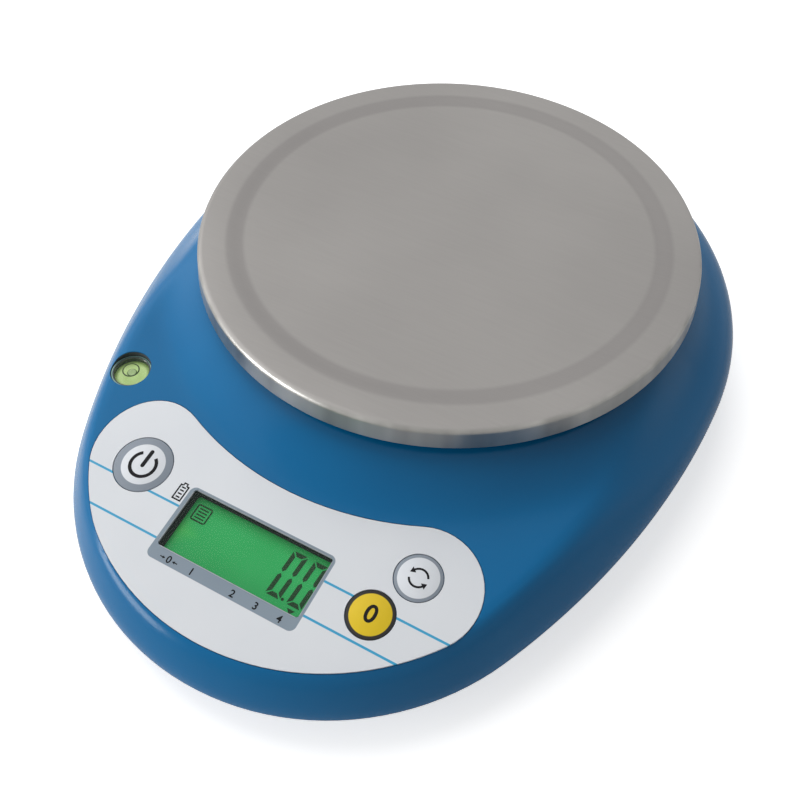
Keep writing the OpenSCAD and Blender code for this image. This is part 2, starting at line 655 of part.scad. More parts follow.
// Battery bay: a box open below, closed by a door that swings on two moulded pins
cell_r = cell_d / 2;
cell_pitch = cell_d + 0.3;
bay_wall = 1.6;
bay_d = cells * cell_pitch + 0.4;
bay_front = bay_back + bay_d;
bay_hw = cell_l / 2 + 4.4;
door_seat = base_z + door_t + seat_gap;
bay_top = door_seat + cell_d + 0.8;
hinge_r = 1.6;
hinge_z = base_z + hinge_r;
hinge_y = -bay_back + bay_wall + moving_gap + hinge_r;
pin_r = 1;
pin_l = 2.4;
ear_gap = 2;
ear_hw = 2.4;
bay_out = bay_hw + bay_wall;
door_hw = bay_out - moving_gap;
door_front = -bay_front - bay_wall;
latch_hw = 7;
latch_d = 3;
tab_hw = 6;
tab_t = 1.2;
tab_h = 2.8;
tab_gap = 0.4;
cell_z = door_seat + 2 * seat_gap + cell_r;
module at_cells() for (k = [0:cells - 1])
  translate([0, -bay_back - seat_gap - cell_pitch * (k + 0.5), cell_z]) mirror([k % 2, 0, 0]) children();
nub_l = 1;
nub_r = 2.75;
module batteries() color("dimgray") on_pan() at_cells() {
  along_x(cell_r, -cell_l / 2, cell_l / 2);
  along_x(nub_r, cell_l / 2 - eps, cell_l / 2 + nub_l);
}
contact_t = 0.5;
contact_hw = 5;
contact_hh = cell_r - 1;
contact_x = bay_hw - contact_t;
module battery_contacts() color("silver") on_pan() at_cells() {
  block([contact_x, bay_hw], [-contact_hw, contact_hw], [-contact_hh, contact_hh]);
  along_x(nub_r, cell_l / 2 + nub_l, contact_x + eps);
  block([-bay_hw, -contact_x], [-contact_hw, contact_hw], [-contact_hh, contact_hh]);
  translate([-contact_x - eps, 0, 0]) rotate([0, 90, 0])
    cylinder(r1 = contact_hw - 0.6, r2 = nub_r, h = contact_x - cell_l / 2 + eps);
}
lead_r = 0.6;
lead_z = 14.5;
lead_end = -87.35;
module battery_leads() color("firebrick") on_pan() for (x = [1, 3]) translate([lead_socket[0] + x * 2, 0, 0])
  along_y(lead_r, lead_end, door_front, lead_z);
grip_hw = 12;
grip_pitch = 1.6;
grip_w = 0.8;
grip_d = 0.4;
grip_y = door_front + 6;
module battery_door() color("steelblue") on_pan() difference() {
  union() {
    block([-door_hw, door_hw], [door_front + moving_gap, hinge_y], [base_z, base_z + door_t]);
    block([-latch_hw, latch_hw], [door_front - latch_d + moving_gap, door_front + 1],
      [base_z, base_z + door_t]);
    block([-tab_hw, tab_hw], [door_front - tab_gap - tab_t, door_front - tab_gap],
      [base_z + door_t - eps, base_z + door_t + tab_h]);
    translate([0, hinge_y, hinge_z]) {
      along_x(hinge_r, -door_hw, door_hw);
      along_x(pin_r, -door_hw - pin_l, door_hw + pin_l);
    }
  }
  for (k = [-2:2]) block([-grip_hw, grip_hw], [grip_y + k * grip_pitch, grip_y + k * grip_pitch + grip_w],
    [base_z - 1, base_z + grip_d]);
}

// Levelling feet: a knurled screw in a brass insert, on a rubber pad that it turns in
front_foot_y = -90;
rear_foot_y = 44;
insert_r = 4.2;
insert_l = 7;
foot_boss_r = 6.6;
foot_boss_top = 15;
foot_hub_r = 5;
foot_pin_r = 2.4;
foot_pin_l = 1.2;
shank_top = base_z + insert_l + 0.6;
foot_disc_top = foot_pad_h + foot_disc_t;
knurls = 24;
knurl_r = 0.8;
knurl_at = foot_d / 2 + knurl_r / 2;
pad_bevel = 0.5;
foot_sites = [[-front_foot_x, front_foot_y], [front_foot_x, front_foot_y],
  [-rear_foot_x, rear_foot_y], [rear_foot_x, rear_foot_y]];
module at_foot(k) on_pan() translate([foot_sites[k].x, foot_sites[k].y, 0]) children();
module foot_inserts() color("goldenrod") for (k = [0:3]) at_foot(k)
  tube(insert_r, foot_screw_r + running_gap, base_z, base_z + insert_l);
module foot_pad(k) color("black") at_foot(k) difference() {
  union() {
    rod(foot_d / 2 - 2 * pad_bevel - 1, 0, foot_pad_h);
    rod(foot_d / 2 - 1, pad_bevel, foot_pad_h - pad_bevel);
  }
  rod(foot_pin_r + running_gap, foot_pad_h - foot_pin_l - running_gap, foot_pad_h + 1);
}
module foot_screw(k) color("dimgray") at_foot(k) {
  rod(foot_pin_r, foot_pad_h - foot_pin_l, foot_pad_h + eps);
  translate([0, 0, foot_pad_h]) linear_extrude(foot_disc_t) difference() {
    circle(foot_d / 2);
    for (a = [0:360 / knurls:359]) rotate(a) translate([knurl_at, 0]) circle(knurl_r, $fn = 16);
  }
  rod(foot_hub_r, foot_disc_top - eps, base_z);
  rod(foot_screw_r, base_z - eps, shank_top);
}
module foot_pad_front_left() foot_pad(0);
module foot_pad_front_right() foot_pad(1);
module foot_pad_rear_left() foot_pad(2);
module foot_pad_rear_right() foot_pad(3);
module foot_screw_front_left() foot_screw(0);
module foot_screw_front_right() foot_screw(1);
module foot_screw_rear_left() foot_screw(2);
module foot_screw_rear_right() foot_screw(3);

// The cable from the beam to the board, round the end of the battery bay
cable_r = 1.1;
cable_sides = 8;
cable_route = [[-10, -beam_w / 2, 20], [-12, -12, 20], [-24, -14, 20], [-36, -18, 19], [-41, -30, 18],
  [-41, -50, 17], [-38.5, -68, 16], [-35, -78, 15], [-32, -83.5, 14.6], [-30, -86.4, 14.5]];
function spline(p, k, t) = let(a = p[max(k - 1, 0)], b = p[k], c = p[k + 1], d = p[min(k + 2, len(p) - 1)])
  0.5 * (2 * b + (c - a) * t + (2 * a - 5 * b + 4 * c - d) * t^2 + (3 * b - a - 3 * c + d) * t^3);
cable_path = [for (k = [0:len(cable_route) - 2], t = [0, 0.5]) spline(cable_route, k, t),
  cable_route[len(cable_route) - 1]];
cable_n = len(cable_path);
function unit(v) = v / norm(v);
function along(k) = unit(cable_path[min(k + 1, cable_n - 1)] - cable_path[max(k - 1, 0)]);
function cable_ring(k) = let(t = along(k), u = unit(cross(t, [0, 0, 1])), v = cross(t, u))
  [for (s = [0:cable_sides - 1]) let(a = s * 360 / cable_sides)
    cable_path[k] + cable_r * (cos(a) * u + sin(a) * v)];
module load_cell_cable() color("dimgray") on_pan() polyhedron(
  points = flat([for (k = [0:cable_n - 1]) cable_ring(k)]),
  faces = concat(flat([for (k = [0:cable_n - 2], s = [0:cable_sides - 1])
      let(a = k * cable_sides, b = a + cable_sides, n = (s + 1) % cable_sides)
        [[a + s, b + s, b + n], [a + s, b + n, a + n]]]),
    [[for (s = [0:cable_sides - 1]) s]],
    [[for (s = [cable_sides - 1:-1:0]) (cable_n - 1) * cable_sides + s]]));

// Upper housing: the skin with its recess, openings, bosses, posts and the level's sleeve
sleeve_r = level_hole_r + 1.6;
collar_r = level_hole_r + 0.9;
ledge_t = 1.2;
ledge_in_r = level_in_r - 0.6;
boss_bite = wall / 3;
key_pocket = key_cap_t + key_travel + seat_gap;
pane_ledge = 0.5;
module upper_housing() color("steelblue") difference() {
  union() {
    on_pan() {
      upper_skin();
      at_screws() rod(upper_boss_r, $split, $top + boss_bite);
    }
    on_deck() at_posts() rod(post_r, board_top, -wall + boss_bite);
    at_level() {
      rod(sleeve_r, level_foot - ledge_t, skin_low(sleeve_r) - level_sink);
      rod(collar_r, level_foot, skin_low(collar_r) - level_sink);
    }
  }
  on_pan() {
    rod(hub_hole_r, plateau_z - wall - 2, plateau_z + 1);
    at_screws() rod(case_screw_r + running_gap, $split - 1, $split + case_screw_l);
    along_y(inlet_r + seat_gap, inlet_body_y[1], rear_r + 2, inlet_z);
  }
  on_deck() {
    translate([0, 0, -panel_t]) linear_extrude(wall) panel_outline(seat_gap);
    translate([window_c.x, window_c.y, -2 * wall]) linear_extrude(3 * wall)
      rounded_rect(window_w - 2 * pane_ledge, window_h - 2 * pane_ledge, window_corner);
    for (k = keys) translate(k[0]) {
      rod(k[1] + seat_gap, -key_pocket, 0);
      rod(key_stem_r + moving_gap, -2 * wall, 0);
    }
    at_posts() rod(board_screw_r + running_gap, board_top - 1, board_top + board_screw_l + 1);
  }
  at_level() {
    rod(level_hole_r, level_foot, level_top + 2 * wall);
    rod(ledge_in_r, level_foot - ledge_t - 1, level_foot + 1);
  }
}

// Lower housing: the dish with its bosses, pedestal, bay, hinge ears, cradle and ribs
rib_t = 1.4;
rib_top = floor_z + 4;
side_rib_x = bay_out + 4.4;
cross_rib = 24;
long_rib = 14;
in_floor = floor_z - 1;
below = base_z - 1;
hinge_room = hinge_y + hinge_r + moving_gap;
module bay_box() difference() {
  block([-bay_out, bay_out], [door_front, -bay_back + bay_wall], [door_seat, bay_top + bay_wall]);
  block([-bay_hw, bay_hw], [-bay_front, -bay_back], [below, bay_top]);
}
module dish() difference() {
  lower_skin();
  block([-bay_out, bay_out], [door_front, hinge_room], [below, door_seat]);
  block([-bay_hw, bay_hw], [-bay_front, -bay_back], [below, bay_top]);
  block([-bay_out, bay_out], [-bay_back + bay_wall, hinge_room], [below, floor_z + 1]);
  block([-latch_hw - moving_gap, latch_hw + moving_gap], [door_front - latch_d, door_front + 1],
    [below, floor_z + 1]);
}
module ribs() {
  mirrored() block([side_rib_x, side_rib_x + rib_t], [-80, -44], [in_floor, rib_top]);
  block([-44, 44], [cross_rib, cross_rib + rib_t], [in_floor, rib_top]);
  mirrored() block([long_rib, long_rib + rib_t], [12, 50], [in_floor, rib_top]);
}
module lower_housing() color("steelblue") on_pan() difference() {
  union() {
    dish();
    bay_box();
    at_screws() rod(boss_r, base_z + 1, $split);
    for (s = foot_sites) translate([s.x, s.y, 0]) rod(foot_boss_r, base_z + 1, foot_boss_top);
    block(pedestal_x, [-pedestal_hw, pedestal_hw], [in_floor, pedestal_z]);
    translate([stop_x, 0, 0]) rod(stop_boss_r, in_floor, stop_boss_top);
    mirrored() block([bay_out, bay_out + pin_l + ear_gap], [hinge_y - ear_hw, hinge_y + ear_hw],
      [in_floor, hinge_z + ear_hw]);
    inlet_cradle();
    ribs();
  }
  at_screws() {
    rod(case_screw_r + seat_gap, base_z, $split + 1);
    rod(case_head_r + moving_gap, below, $seat);
  }
  for (s = foot_sites) translate([s.x, s.y, 0]) {
    rod(insert_r, below, base_z + insert_l);
    rod(foot_screw_r + moving_gap, base_z, shank_top + 2 * moving_gap);
  }
  for (x = beam_screw_xs) translate([-x, 0, 0]) {
    rod(beam_screw_r + seat_gap, base_z, beam_z);
    rod(beam_head_r + moving_gap, below, beam_head_seat);
  }
  translate([stop_x, 0, 0]) rod(stop_r + running_gap, floor_z, stop_boss_top + 1);
  translate([0, hinge_y, hinge_z]) mirrored()
    along_x(pin_r + running_gap, bay_out - 1, door_hw + pin_l + moving_gap);
}

lower_housing();
upper_housing();
housing_screws();
foot_inserts();
load_cell();
gauge_cover();
beam_base_plate();
beam_screws();
overload_stop();
load_cell_cable();
main_board();
board_screws();
board_parts();
tact_switches();
control_overlay();
lcd_window();
lcd_panel();
lcd_backlight();
lcd_holder();
level_cup();
level_liquid();
level_lens();
dc_inlet();
batteries();
battery_contacts();
battery_leads();
battery_door();
load_plate();
load_plate_screws();
pan_carrier();
carrier_screws();
carrier_pads();
pan();
power_key();
power_plunger();
mode_key();
mode_plunger();
zero_key();
zero_plunger();
foot_pad_front_left();
foot_screw_front_left();
foot_pad_front_right();
foot_screw_front_right();
foot_pad_rear_left();
foot_screw_rear_left();
foot_pad_rear_right();
foot_screw_rear_right();
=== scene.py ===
import json
from math import atan2, cos, hypot, pi, radians, sin, sqrt, tan

import bmesh
import bpy
from mathutils import Matrix, Vector

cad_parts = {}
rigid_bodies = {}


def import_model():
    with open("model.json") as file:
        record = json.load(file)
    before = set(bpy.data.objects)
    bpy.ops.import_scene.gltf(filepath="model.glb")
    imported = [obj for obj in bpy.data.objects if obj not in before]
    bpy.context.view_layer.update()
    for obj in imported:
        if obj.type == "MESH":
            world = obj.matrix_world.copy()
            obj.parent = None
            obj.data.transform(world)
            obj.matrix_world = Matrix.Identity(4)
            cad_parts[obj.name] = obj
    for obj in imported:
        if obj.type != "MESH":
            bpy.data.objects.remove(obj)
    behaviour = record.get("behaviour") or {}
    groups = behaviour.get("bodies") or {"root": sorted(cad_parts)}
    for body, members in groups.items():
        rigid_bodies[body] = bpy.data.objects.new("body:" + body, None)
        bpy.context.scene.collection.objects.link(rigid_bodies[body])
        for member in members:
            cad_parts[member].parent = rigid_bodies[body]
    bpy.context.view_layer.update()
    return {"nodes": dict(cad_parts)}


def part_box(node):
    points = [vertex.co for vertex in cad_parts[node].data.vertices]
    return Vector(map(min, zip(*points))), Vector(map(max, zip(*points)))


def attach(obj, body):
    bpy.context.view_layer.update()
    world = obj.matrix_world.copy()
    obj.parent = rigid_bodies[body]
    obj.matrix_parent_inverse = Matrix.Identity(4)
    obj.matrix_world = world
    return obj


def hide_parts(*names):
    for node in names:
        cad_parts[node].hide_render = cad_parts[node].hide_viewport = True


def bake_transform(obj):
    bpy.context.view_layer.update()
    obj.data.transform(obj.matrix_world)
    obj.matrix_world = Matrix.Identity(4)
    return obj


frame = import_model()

nodes = frame["nodes"]
scene = bpy.context.scene

# Lower housing: a blue ABS dish, injection moulded in one piece with the battery bay, the screw bosses and
# the pedestal of the load cell. Its outer faces carry a fine spark-eroded texture from the mould.
MM = Matrix.Scale(0.001, 4)
PAN_Y = 25
on_pan = MM @ Matrix.Translation((0, PAN_Y, 0))
MERGE = 2e-6


class Wire:
    """A shader socket that adds, multiplies and compares like a number."""

    def __init__(self, tree, socket=None):
        self.tree, self.socket = tree, socket

    def feed(self, socket, value):
        if isinstance(value, Wire):
            self.tree.links.new(value.socket, socket)
        else:
            socket.default_value = value

    def node(self, kind, settings=(), values=(), out=0):
        made = self.tree.nodes.new("ShaderNode" + kind)
        for name, value in dict(settings).items():
            if name == "stops":
                while len(made.color_ramp.elements) < len(value):
                    made.color_ramp.elements.new(1)
                for stop, (at, colour) in zip(made.color_ramp.elements, value):
                    stop.position, stop.color = at, colour
            else:
                setattr(made, name, value)
        for name, value in dict(values).items():
            self.feed(made.inputs[name], value)
        return Wire(self.tree, made.outputs[out])

    def math(self, operation, *others, clamp=False):
        settings = {"operation": operation, "use_clamp": clamp}
        return self.node("Math", settings, enumerate((self, *others)))

    def __add__(self, other):
        return self.math("ADD", other)

    def __sub__(self, other):
        return self.math("SUBTRACT", other)

    def __rsub__(self, other):
        return self * -1 + other

    def __mul__(self, other):
        return self.math("MULTIPLY", other)

    def __truediv__(self, other):
        return self.math("DIVIDE", other)

    def __abs__(self):
        return self.math("ABSOLUTE")

    __radd__ = __add__
    __rmul__ = __mul__

    def least(self, other):
        return self.math("MINIMUM", other)

    def most(self, other):
        return self.math("MAXIMUM", other)

    def reach(self, other):
        """The length of the vector of this and another number."""
        return (self * self + other * other).math("SQRT")

    def inside(self, soft):
        """1 where this distance is negative and 0 where it is positive, over a soft edge."""
        return (self / -soft).math("ADD", 0.5, clamp=True)

    def mix(self, low, high):
        """The colour low where this is 0 and high where it is 1."""
        return self.node("Mix", {"data_type": "RGBA"}, {0: self, 6: low, 7: high}, out=2)


def srgb(red, green, blue):
    parts = [c / 255 for c in (red, green, blue)]
    return (*[((c + 0.055) / 1.055) ** 2.4 if c > 0.04 else c / 12.92 for c in parts], 1)


def finish(name, recipe):
    look = bpy.data.materials.new(name)
    look.use_nodes = True
    start = Wire(look.node_tree)
    shader = look.node_tree.nodes["Principled BSDF"]
    for socket, value in recipe(start).items():
        start.feed(shader.inputs[socket], value)
    return look


def place(w):
    return w.node("TexCoord", out="Object")


def split(w, vector):
    parts = w.node("SeparateXYZ", {}, {0: vector}).socket.node
    return [Wire(w.tree, parts.outputs[k]) for k in range(3)]


def noise(w, scale, detail=2.0, at=None):
    return w.node("TexNoise", {}, {"Vector": at or place(w), "Scale": scale, "Detail": detail})


def bump(w, height, depth):
    return w.node("Bump", {}, {"Height": height, "Strength": 1.0, "Distance": depth})


def moulded(low, high, rough, texture=2400, depth=0.000006):
    """Moulded plastic: a slow drift between two tones, and the grain of the mould in gloss and relief."""
    def recipe(w):
        grain = noise(w, texture)
        drift = noise(w, 45, 1.0)
        return {"Base Color": (drift * 0.8 + grain * 0.2).mix(srgb(*low), srgb(*high)),
                "Roughness": rough + (grain - 0.5) * 0.16, "Specular IOR Level": 0.2,
                "Normal": bump(w, grain, depth)}
    return recipe


def dress(piece, look):
    if not piece.material_slots:
        piece.data.materials.append(look)
    for slot in piece.material_slots:
        slot.material = look


def shade(mesh, crease):
    mesh.shade_smooth()
    mesh.set_sharp_from_angle(angle=radians(crease))


def merged(node, join_flats=True):
    """A bmesh copy of a solid with its corners merged and, if asked, its flat faces in one piece."""
    bm = bmesh.new()
    bm.from_mesh(nodes[node].data)
    bmesh.ops.remove_doubles(bm, verts=bm.verts, dist=MERGE)
    if join_flats:
        bmesh.ops.dissolve_limit(bm, angle_limit=radians(0.3), verts=bm.verts, edges=bm.edges)
    return bm


def to_mesh(name, bm):
    mesh = bpy.data.meshes.new(name)
    bm.to_mesh(mesh)
    bm.free()
    return mesh


def settle(name, mesh, look, body, stands_for=()):
    """Puts a finished mesh into the scene with its finish, on its body unless it bends between two."""
    piece = bpy.data.objects.new(name, mesh)
    scene.collection.objects.link(piece)
    dress(piece, look)
    if body:
        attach(piece, body)
    if stands_for:
        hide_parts(*stands_for)
    return piece


def soften(node, name, look, body, edge=0.0, crease=30):
    """A merged copy of a solid with smooth faces and, where edge is given, rounded edges."""
    piece = settle(name, to_mesh(name, merged(node)), look, body, [node])
    shade(piece.data, crease)
    if edge:
        round_over = piece.modifiers.new("round_over", "BEVEL")
        round_over.width, round_over.segments = edge, 2
        round_over.angle_limit = radians(crease)
        round_over.harden_normals = True
    else:
        even = piece.modifiers.new("even", "WEIGHTED_NORMAL")
        even.keep_sharp = True


blue = finish("blue_moulding", moulded((3, 98, 150), (8, 106, 159), 0.2))
soften("lower_housing", "base_dish", blue, "base", crease=28)

# Levelling feet: a knurled glass-filled nylon disc on a threaded shank, screwed into a brass insert that is
# pressed hot into the base. A rubber pad is clipped on below and stays still while the screw turns.
FEET = ("front_left", "front_right", "rear_left", "rear_right")


def rubber(w):
    crumb = noise(w, 1500, 3.0)
    return {"Base Color": crumb.mix(srgb(26, 26, 27), srgb(46, 46, 47)), "Roughness": 0.78 + crumb * 0.12,
            "Normal": bump(w, crumb, 0.00003)}


def turned_brass(w):
    grooves = (split(w, place(w))[2] * 9000).math("SINE")
    stain = noise(w, 160)
    return {"Base Color": stain.mix(srgb(178, 142, 72), srgb(205, 172, 98)), "Metallic": 1.0,
            "Roughness": 0.3 + grooves * 0.06, "Normal": bump(w, grooves, 0.00001)}


black_nylon = finish("black_nylon", moulded((30, 30, 32), (44, 44, 46), 0.5, texture=1800))
foot_rubber = finish("foot_rubber", rubber)
brass = finish("turned_brass", turned_brass)
dress(nodes["foot_inserts"], brass)
for foot in FEET:
    screw = "foot_screw_" + foot
    pad = "foot_pad_" + foot
    soften(screw, screw + "_knurled", black_nylon, screw, edge=0.0002)
    soften(pad, pad + "_moulded", foot_rubber, pad, edge=0.0003)

# Load cell: a drilled bar of aluminium on a steel shim, screwed to the pedestal at one end. Its thin webs
# bend as the plate on its free end sinks. White sealant covers the gauges, and a brass stop takes overloads.
FLEX_HALF = 0.0136
FLEX_SLICES = 14


def milled(w):
    swirl = noise(w, 60, 2.0)
    passes = (split(w, place(w))[0] * 5200 + swirl * 3).math("SINE")
    return {"Base Color": swirl.mix(srgb(186, 188, 190), srgb(208, 210, 212)), "Metallic": 1.0,
            "Roughness": 0.34 + passes * 0.05, "Normal": bump(w, passes, 0.000008)}


def plated(w):
    haze = noise(w, 220, 3.0)
    return {"Base Color": haze.mix(srgb(178, 180, 184), srgb(206, 206, 204)), "Metallic": 1.0,
            "Roughness": 0.2 + haze * 0.16, "Normal": bump(w, noise(w, 2600), 0.000006)}


def sealant(w):
    lumps = noise(w, 700, 2.0)
    return {"Base Color": lumps.mix(srgb(226, 224, 214), srgb(242, 240, 232)), "Coat Weight": 0.3,
            "Roughness": 0.42 + lumps * 0.1, "Normal": bump(w, lumps, 0.0001)}


def flexing(node, name, look):
    """A merged copy of a solid of the beam, sliced across along the stretch where the webs are thin."""
    bm = merged(node, join_flats=False)
    for k in range(FLEX_SLICES + 1):
        at = FLEX_HALF * (2 * k / FLEX_SLICES - 1)
        bmesh.ops.bisect_plane(bm, geom=bm.verts[:] + bm.edges[:] + bm.faces[:], dist=1e-6,
                               plane_co=(at, 0, 0), plane_no=(1, 0, 0))
    mesh = to_mesh(name, bm)
    shade(mesh, 30)
    piece = settle(name, mesh, look, None, [node])
    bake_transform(piece)


zinc = finish("zinc_plate", plated)
flexing("load_cell", "beam", finish("milled_alloy", milled))
flexing("gauge_cover", "gauge_sealant", finish("gauge_sealant", sealant))
for name in ("load_plate", "beam_base_plate", "beam_screws", "load_plate_screws"):
    dress(nodes[name], zinc)
dress(nodes["overload_stop"], brass)
cable_jacket = finish("cable_jacket", moulded((66, 66, 68), (86, 86, 88), 0.55, texture=900))
soften("load_cell_cable", "beam_cable", cable_jacket, "base", crease=60)

# Battery bay: four AA cells in plain sleeves lie side by side between nickel plated springs and studs. The
# door is a blue moulding that swings on two pins at its back and snaps shut at its front.
CELL_PITCH = 0.0146
CELL_FIRST_Y = -0.0281
CELL_END = 0.0236
COLLAR_FROM = 0.012


def sleeve(w):
    """A dark sleeve with a copper band at the plus end, which changes sides from cell to cell."""
    x, y, _ = split(w, place(w))
    rows = (PAN_Y / 1000 + CELL_FIRST_Y - y) / CELL_PITCH
    flip = (rows + 10).math("MODULO", 2.0).math("GREATER_THAN", 1.0)
    steel = abs(x).math("GREATER_THAN", CELL_END)
    collar = (COLLAR_FROM - x * (1 - flip * 2)).inside(0.0003)
    scuff = noise(w, 500, 3.0)
    paint = collar.mix(srgb(58, 60, 66), srgb(176, 104, 48))
    return {"Base Color": steel.mix(paint, srgb(200, 200, 202)), "Metallic": 0.25 + steel * 0.75,
            "Roughness": 0.28 + scuff * 0.14, "Normal": bump(w, scuff, 0.00001)}


def wrapped(w):
    streak = noise(w, 900, 2.0)
    return {"Base Color": streak.mix(srgb(150, 22, 18), srgb(182, 32, 26)),
            "Roughness": 0.45 + streak * 0.1, "Normal": bump(w, streak, 0.00001)}


soften("batteries", "cells", finish("cell_sleeve", sleeve), "base", edge=0.0004)
dress(nodes["battery_contacts"], finish("nickel_plate", plated))
dress(nodes["battery_leads"], finish("lead_sleeve", wrapped))
soften("battery_door", "bay_door", blue, "battery_door", edge=0.00025)

# Circuit board: green solder mask with black packages and three tact switches, hung under the deck on four
# posts of the upper housing. The adapter inlet is a black block in a cradle at the back.
WEAVE = 7000


def solder_mask(w):
    x, y, _ = split(w, place(w))
    weave = (x * WEAVE).math("SINE") * (y * WEAVE).math("SINE")
    copper = noise(w, 420, 4.0)
    return {"Base Color": copper.mix(srgb(10, 66, 34), srgb(26, 98, 52)), "Roughness": 0.3 + weave * 0.05,
            "Coat Weight": 0.4, "Normal": bump(w, weave, 0.00001)}


dress(nodes["main_board"], finish("solder_mask", solder_mask))
epoxy = finish("package_epoxy", moulded((22, 22, 24), (38, 38, 40), 0.55, texture=3200))
dress(nodes["board_parts"], epoxy)
dress(nodes["board_screws"], zinc)
dress(nodes["tact_switches"], finish("switch_case", moulded((56, 56, 60), (78, 78, 82), 0.45)))
soften("dc_inlet", "adapter_inlet", epoxy, "base", edge=0.0002)
black_oxide = finish("black_oxide", moulded((28, 28, 30), (44, 44, 46), 0.4, texture=1200))
dress(nodes["housing_screws"], black_oxide)

# Upper housing: the blue moulding that closes the body, 2.4 mm thick. A plateau rises under the pan, the deck
# falls to the front, and a shallow recess takes the printed panel. Its outline is an egg of three arcs.
WALL = 2.4
REAR_R = 89.0
FRONT_REACH = 139.0
SIDE_R = 225.0
FRONT_R = (SIDE_R ** 2 - (SIDE_R - REAR_R) ** 2 - FRONT_REACH ** 2) / (2 * (SIDE_R - FRONT_REACH))
SIDE_C = Vector((REAR_R - SIDE_R, 0))
FRONT_C = Vector((0, FRONT_R - FRONT_REACH))
ARC_JOIN = FRONT_C + FRONT_R * (FRONT_C - SIDE_C).normalized()
RIM_Z = 18.5
RIM_SLOPE = tan(radians(3.15))
BEAD_R = 8.5
TUCK_W = 14.0
BASE_Z = 6.0
SEAM_ANGLE = radians(30)
DECK_TILT = radians(6.5)
DECK_Z = 26.6
PANEL_REACH = 105.0
SIDE_DECK_Z = 31.6
SIDE_TILT = radians(0.6)
DECK_BLEND = 2
PLATEAU_Z = 39.6
PLATEAU_R = 66
PLATEAU_FOOT_R = 88
SHOULDER_FRONT_W = 6.5
SHOULDER_SIDE_W = 22
HUB_HOLE_R = 14.0
COLUMNS = 240
SEAM_ROWS = 3
BEAD_ROWS = 12
DECK_ROWS = 36


def egg_arc(x, y, as_ray):
    """The point or ray folded to the right side, with the arc of the outline that belongs to it."""
    folded = Vector((abs(x), y))
    if y >= 0:
        return folded, Vector((0, 0)), REAR_R
    turn = ARC_JOIN.cross(folded) if as_ray else (FRONT_C - SIDE_C).cross(folded - FRONT_C)
    return (folded, FRONT_C, FRONT_R) if turn < 0 else (folded, SIDE_C, SIDE_R)


def egg_reach(ray):
    """How far the outline lies along a ray from the pan's axis, and how squarely the ray crosses it."""
    folded, centre, radius = egg_arc(*ray, True)
    along = folded.dot(centre)
    far = along + sqrt(along ** 2 - centre.dot(centre) + radius ** 2)
    return far, (folded * far - centre).dot(folded) / radius


def egg_depth(x, y):
    folded, centre, radius = egg_arc(x, y, False)
    return radius - (folded - centre).length


def ease(share):
    return 0.5 - 0.5 * cos(pi * min(max(share, 0), 1))


def rim_height(y):
    return RIM_Z + RIM_SLOPE * y


def skin_height(x, y):
    """The height of the outer skin: the bead, then the lower of front and side deck, then the plateau."""
    deck = DECK_Z + tan(DECK_TILT) * (y + PANEL_REACH)
    side = SIDE_DECK_Z + tan(SIDE_TILT) * y
    meet = max(DECK_BLEND - abs(deck - side), 0)
    deck = min(deck, side) - meet ** 2 / (4 * DECK_BLEND)
    top = deck + (PLATEAU_Z - deck) * ease((PLATEAU_FOOT_R - hypot(x, y)) / (PLATEAU_FOOT_R - PLATEAU_R))
    inset = egg_depth(x, y)
    sideways = min(1, (y + FRONT_REACH) / FRONT_REACH) ** 2
    shoulder = SHOULDER_FRONT_W + (SHOULDER_SIDE_W - SHOULDER_FRONT_W) * sideways
    bead = BEAD_R * sqrt(max(0, 1 - (1 - min(max(inset / BEAD_R, 0), 1)) ** 2))
    return rim_height(y) + bead + (top - rim_height(y) - BEAD_R) * ease(inset / shoulder)


def on_skin(row, ray):
    """A point of the outer skin: rows run from the parting line up the bead, then in to the hub hole."""
    far, slant = egg_reach(ray)
    if row < SEAM_ROWS:
        turn = SEAM_ANGLE * (1 - row / SEAM_ROWS)
        at = ray * (far - TUCK_W * (1 - cos(turn)) / slant)
        return (*at, rim_height(at.y) - (rim_height(at.y) - BASE_Z) * sin(turn))
    if row <= SEAM_ROWS + BEAD_ROWS:
        at = ray * (far - BEAD_R * (1 - cos((row - SEAM_ROWS) / BEAD_ROWS * pi / 2)) / slant)
    else:
        edge = far - BEAD_R / slant
        at = ray * (edge + (HUB_HOLE_R - edge) * (row - SEAM_ROWS - BEAD_ROWS) / DECK_ROWS)
    return (*at, skin_height(*at))


def thicken(bm, faces, height):
    """Raises flat faces into plates of the given height."""
    up = bmesh.ops.extrude_face_region(bm, geom=faces)["geom"]
    raised = [v for v in up if isinstance(v, bmesh.types.BMVert)]
    bmesh.ops.translate(bm, vec=(0, 0, height), verts=raised)
    bmesh.ops.recalc_face_normals(bm, faces=bm.faces)
    return bm


def plates(shapes, low, high):
    """Flat plates on the given outlines, as one bmesh."""
    bm = bmesh.new()
    faces = [bm.faces.new([bm.verts.new((x, y, low)) for x, y in shape]) for shape in shapes]
    return thicken(bm, faces, high - low)


def prism(outline, low, high, basis):
    """A closed block on an outline, in millimetres of the given basis, as a mesh in metres."""
    bm = plates([outline], low, high)
    bmesh.ops.transform(bm, matrix=basis, verts=bm.verts)
    return to_mesh("cutter", bm)


def arc(centre, radius, start, end, count):
    angles = [start + (end - start) * k / count for k in range(count + 1)]
    return [(centre[0] + radius * cos(a), centre[1] + radius * sin(a)) for a in angles]


def disc(centre, radius, count=72):
    return arc(centre, radius, 0, 2 * pi * (count - 1) / count, count - 1)


def rounded(centre, width, height, radius):
    corners = []
    for k, (x, y) in enumerate(((1, 1), (-1, 1), (-1, -1), (1, -1))):
        middle = (centre[0] + x * (width / 2 - radius), centre[1] + y * (height / 2 - radius))
        corners += arc(middle, radius, k * pi / 2, (k + 1) * pi / 2, 8)
    return corners


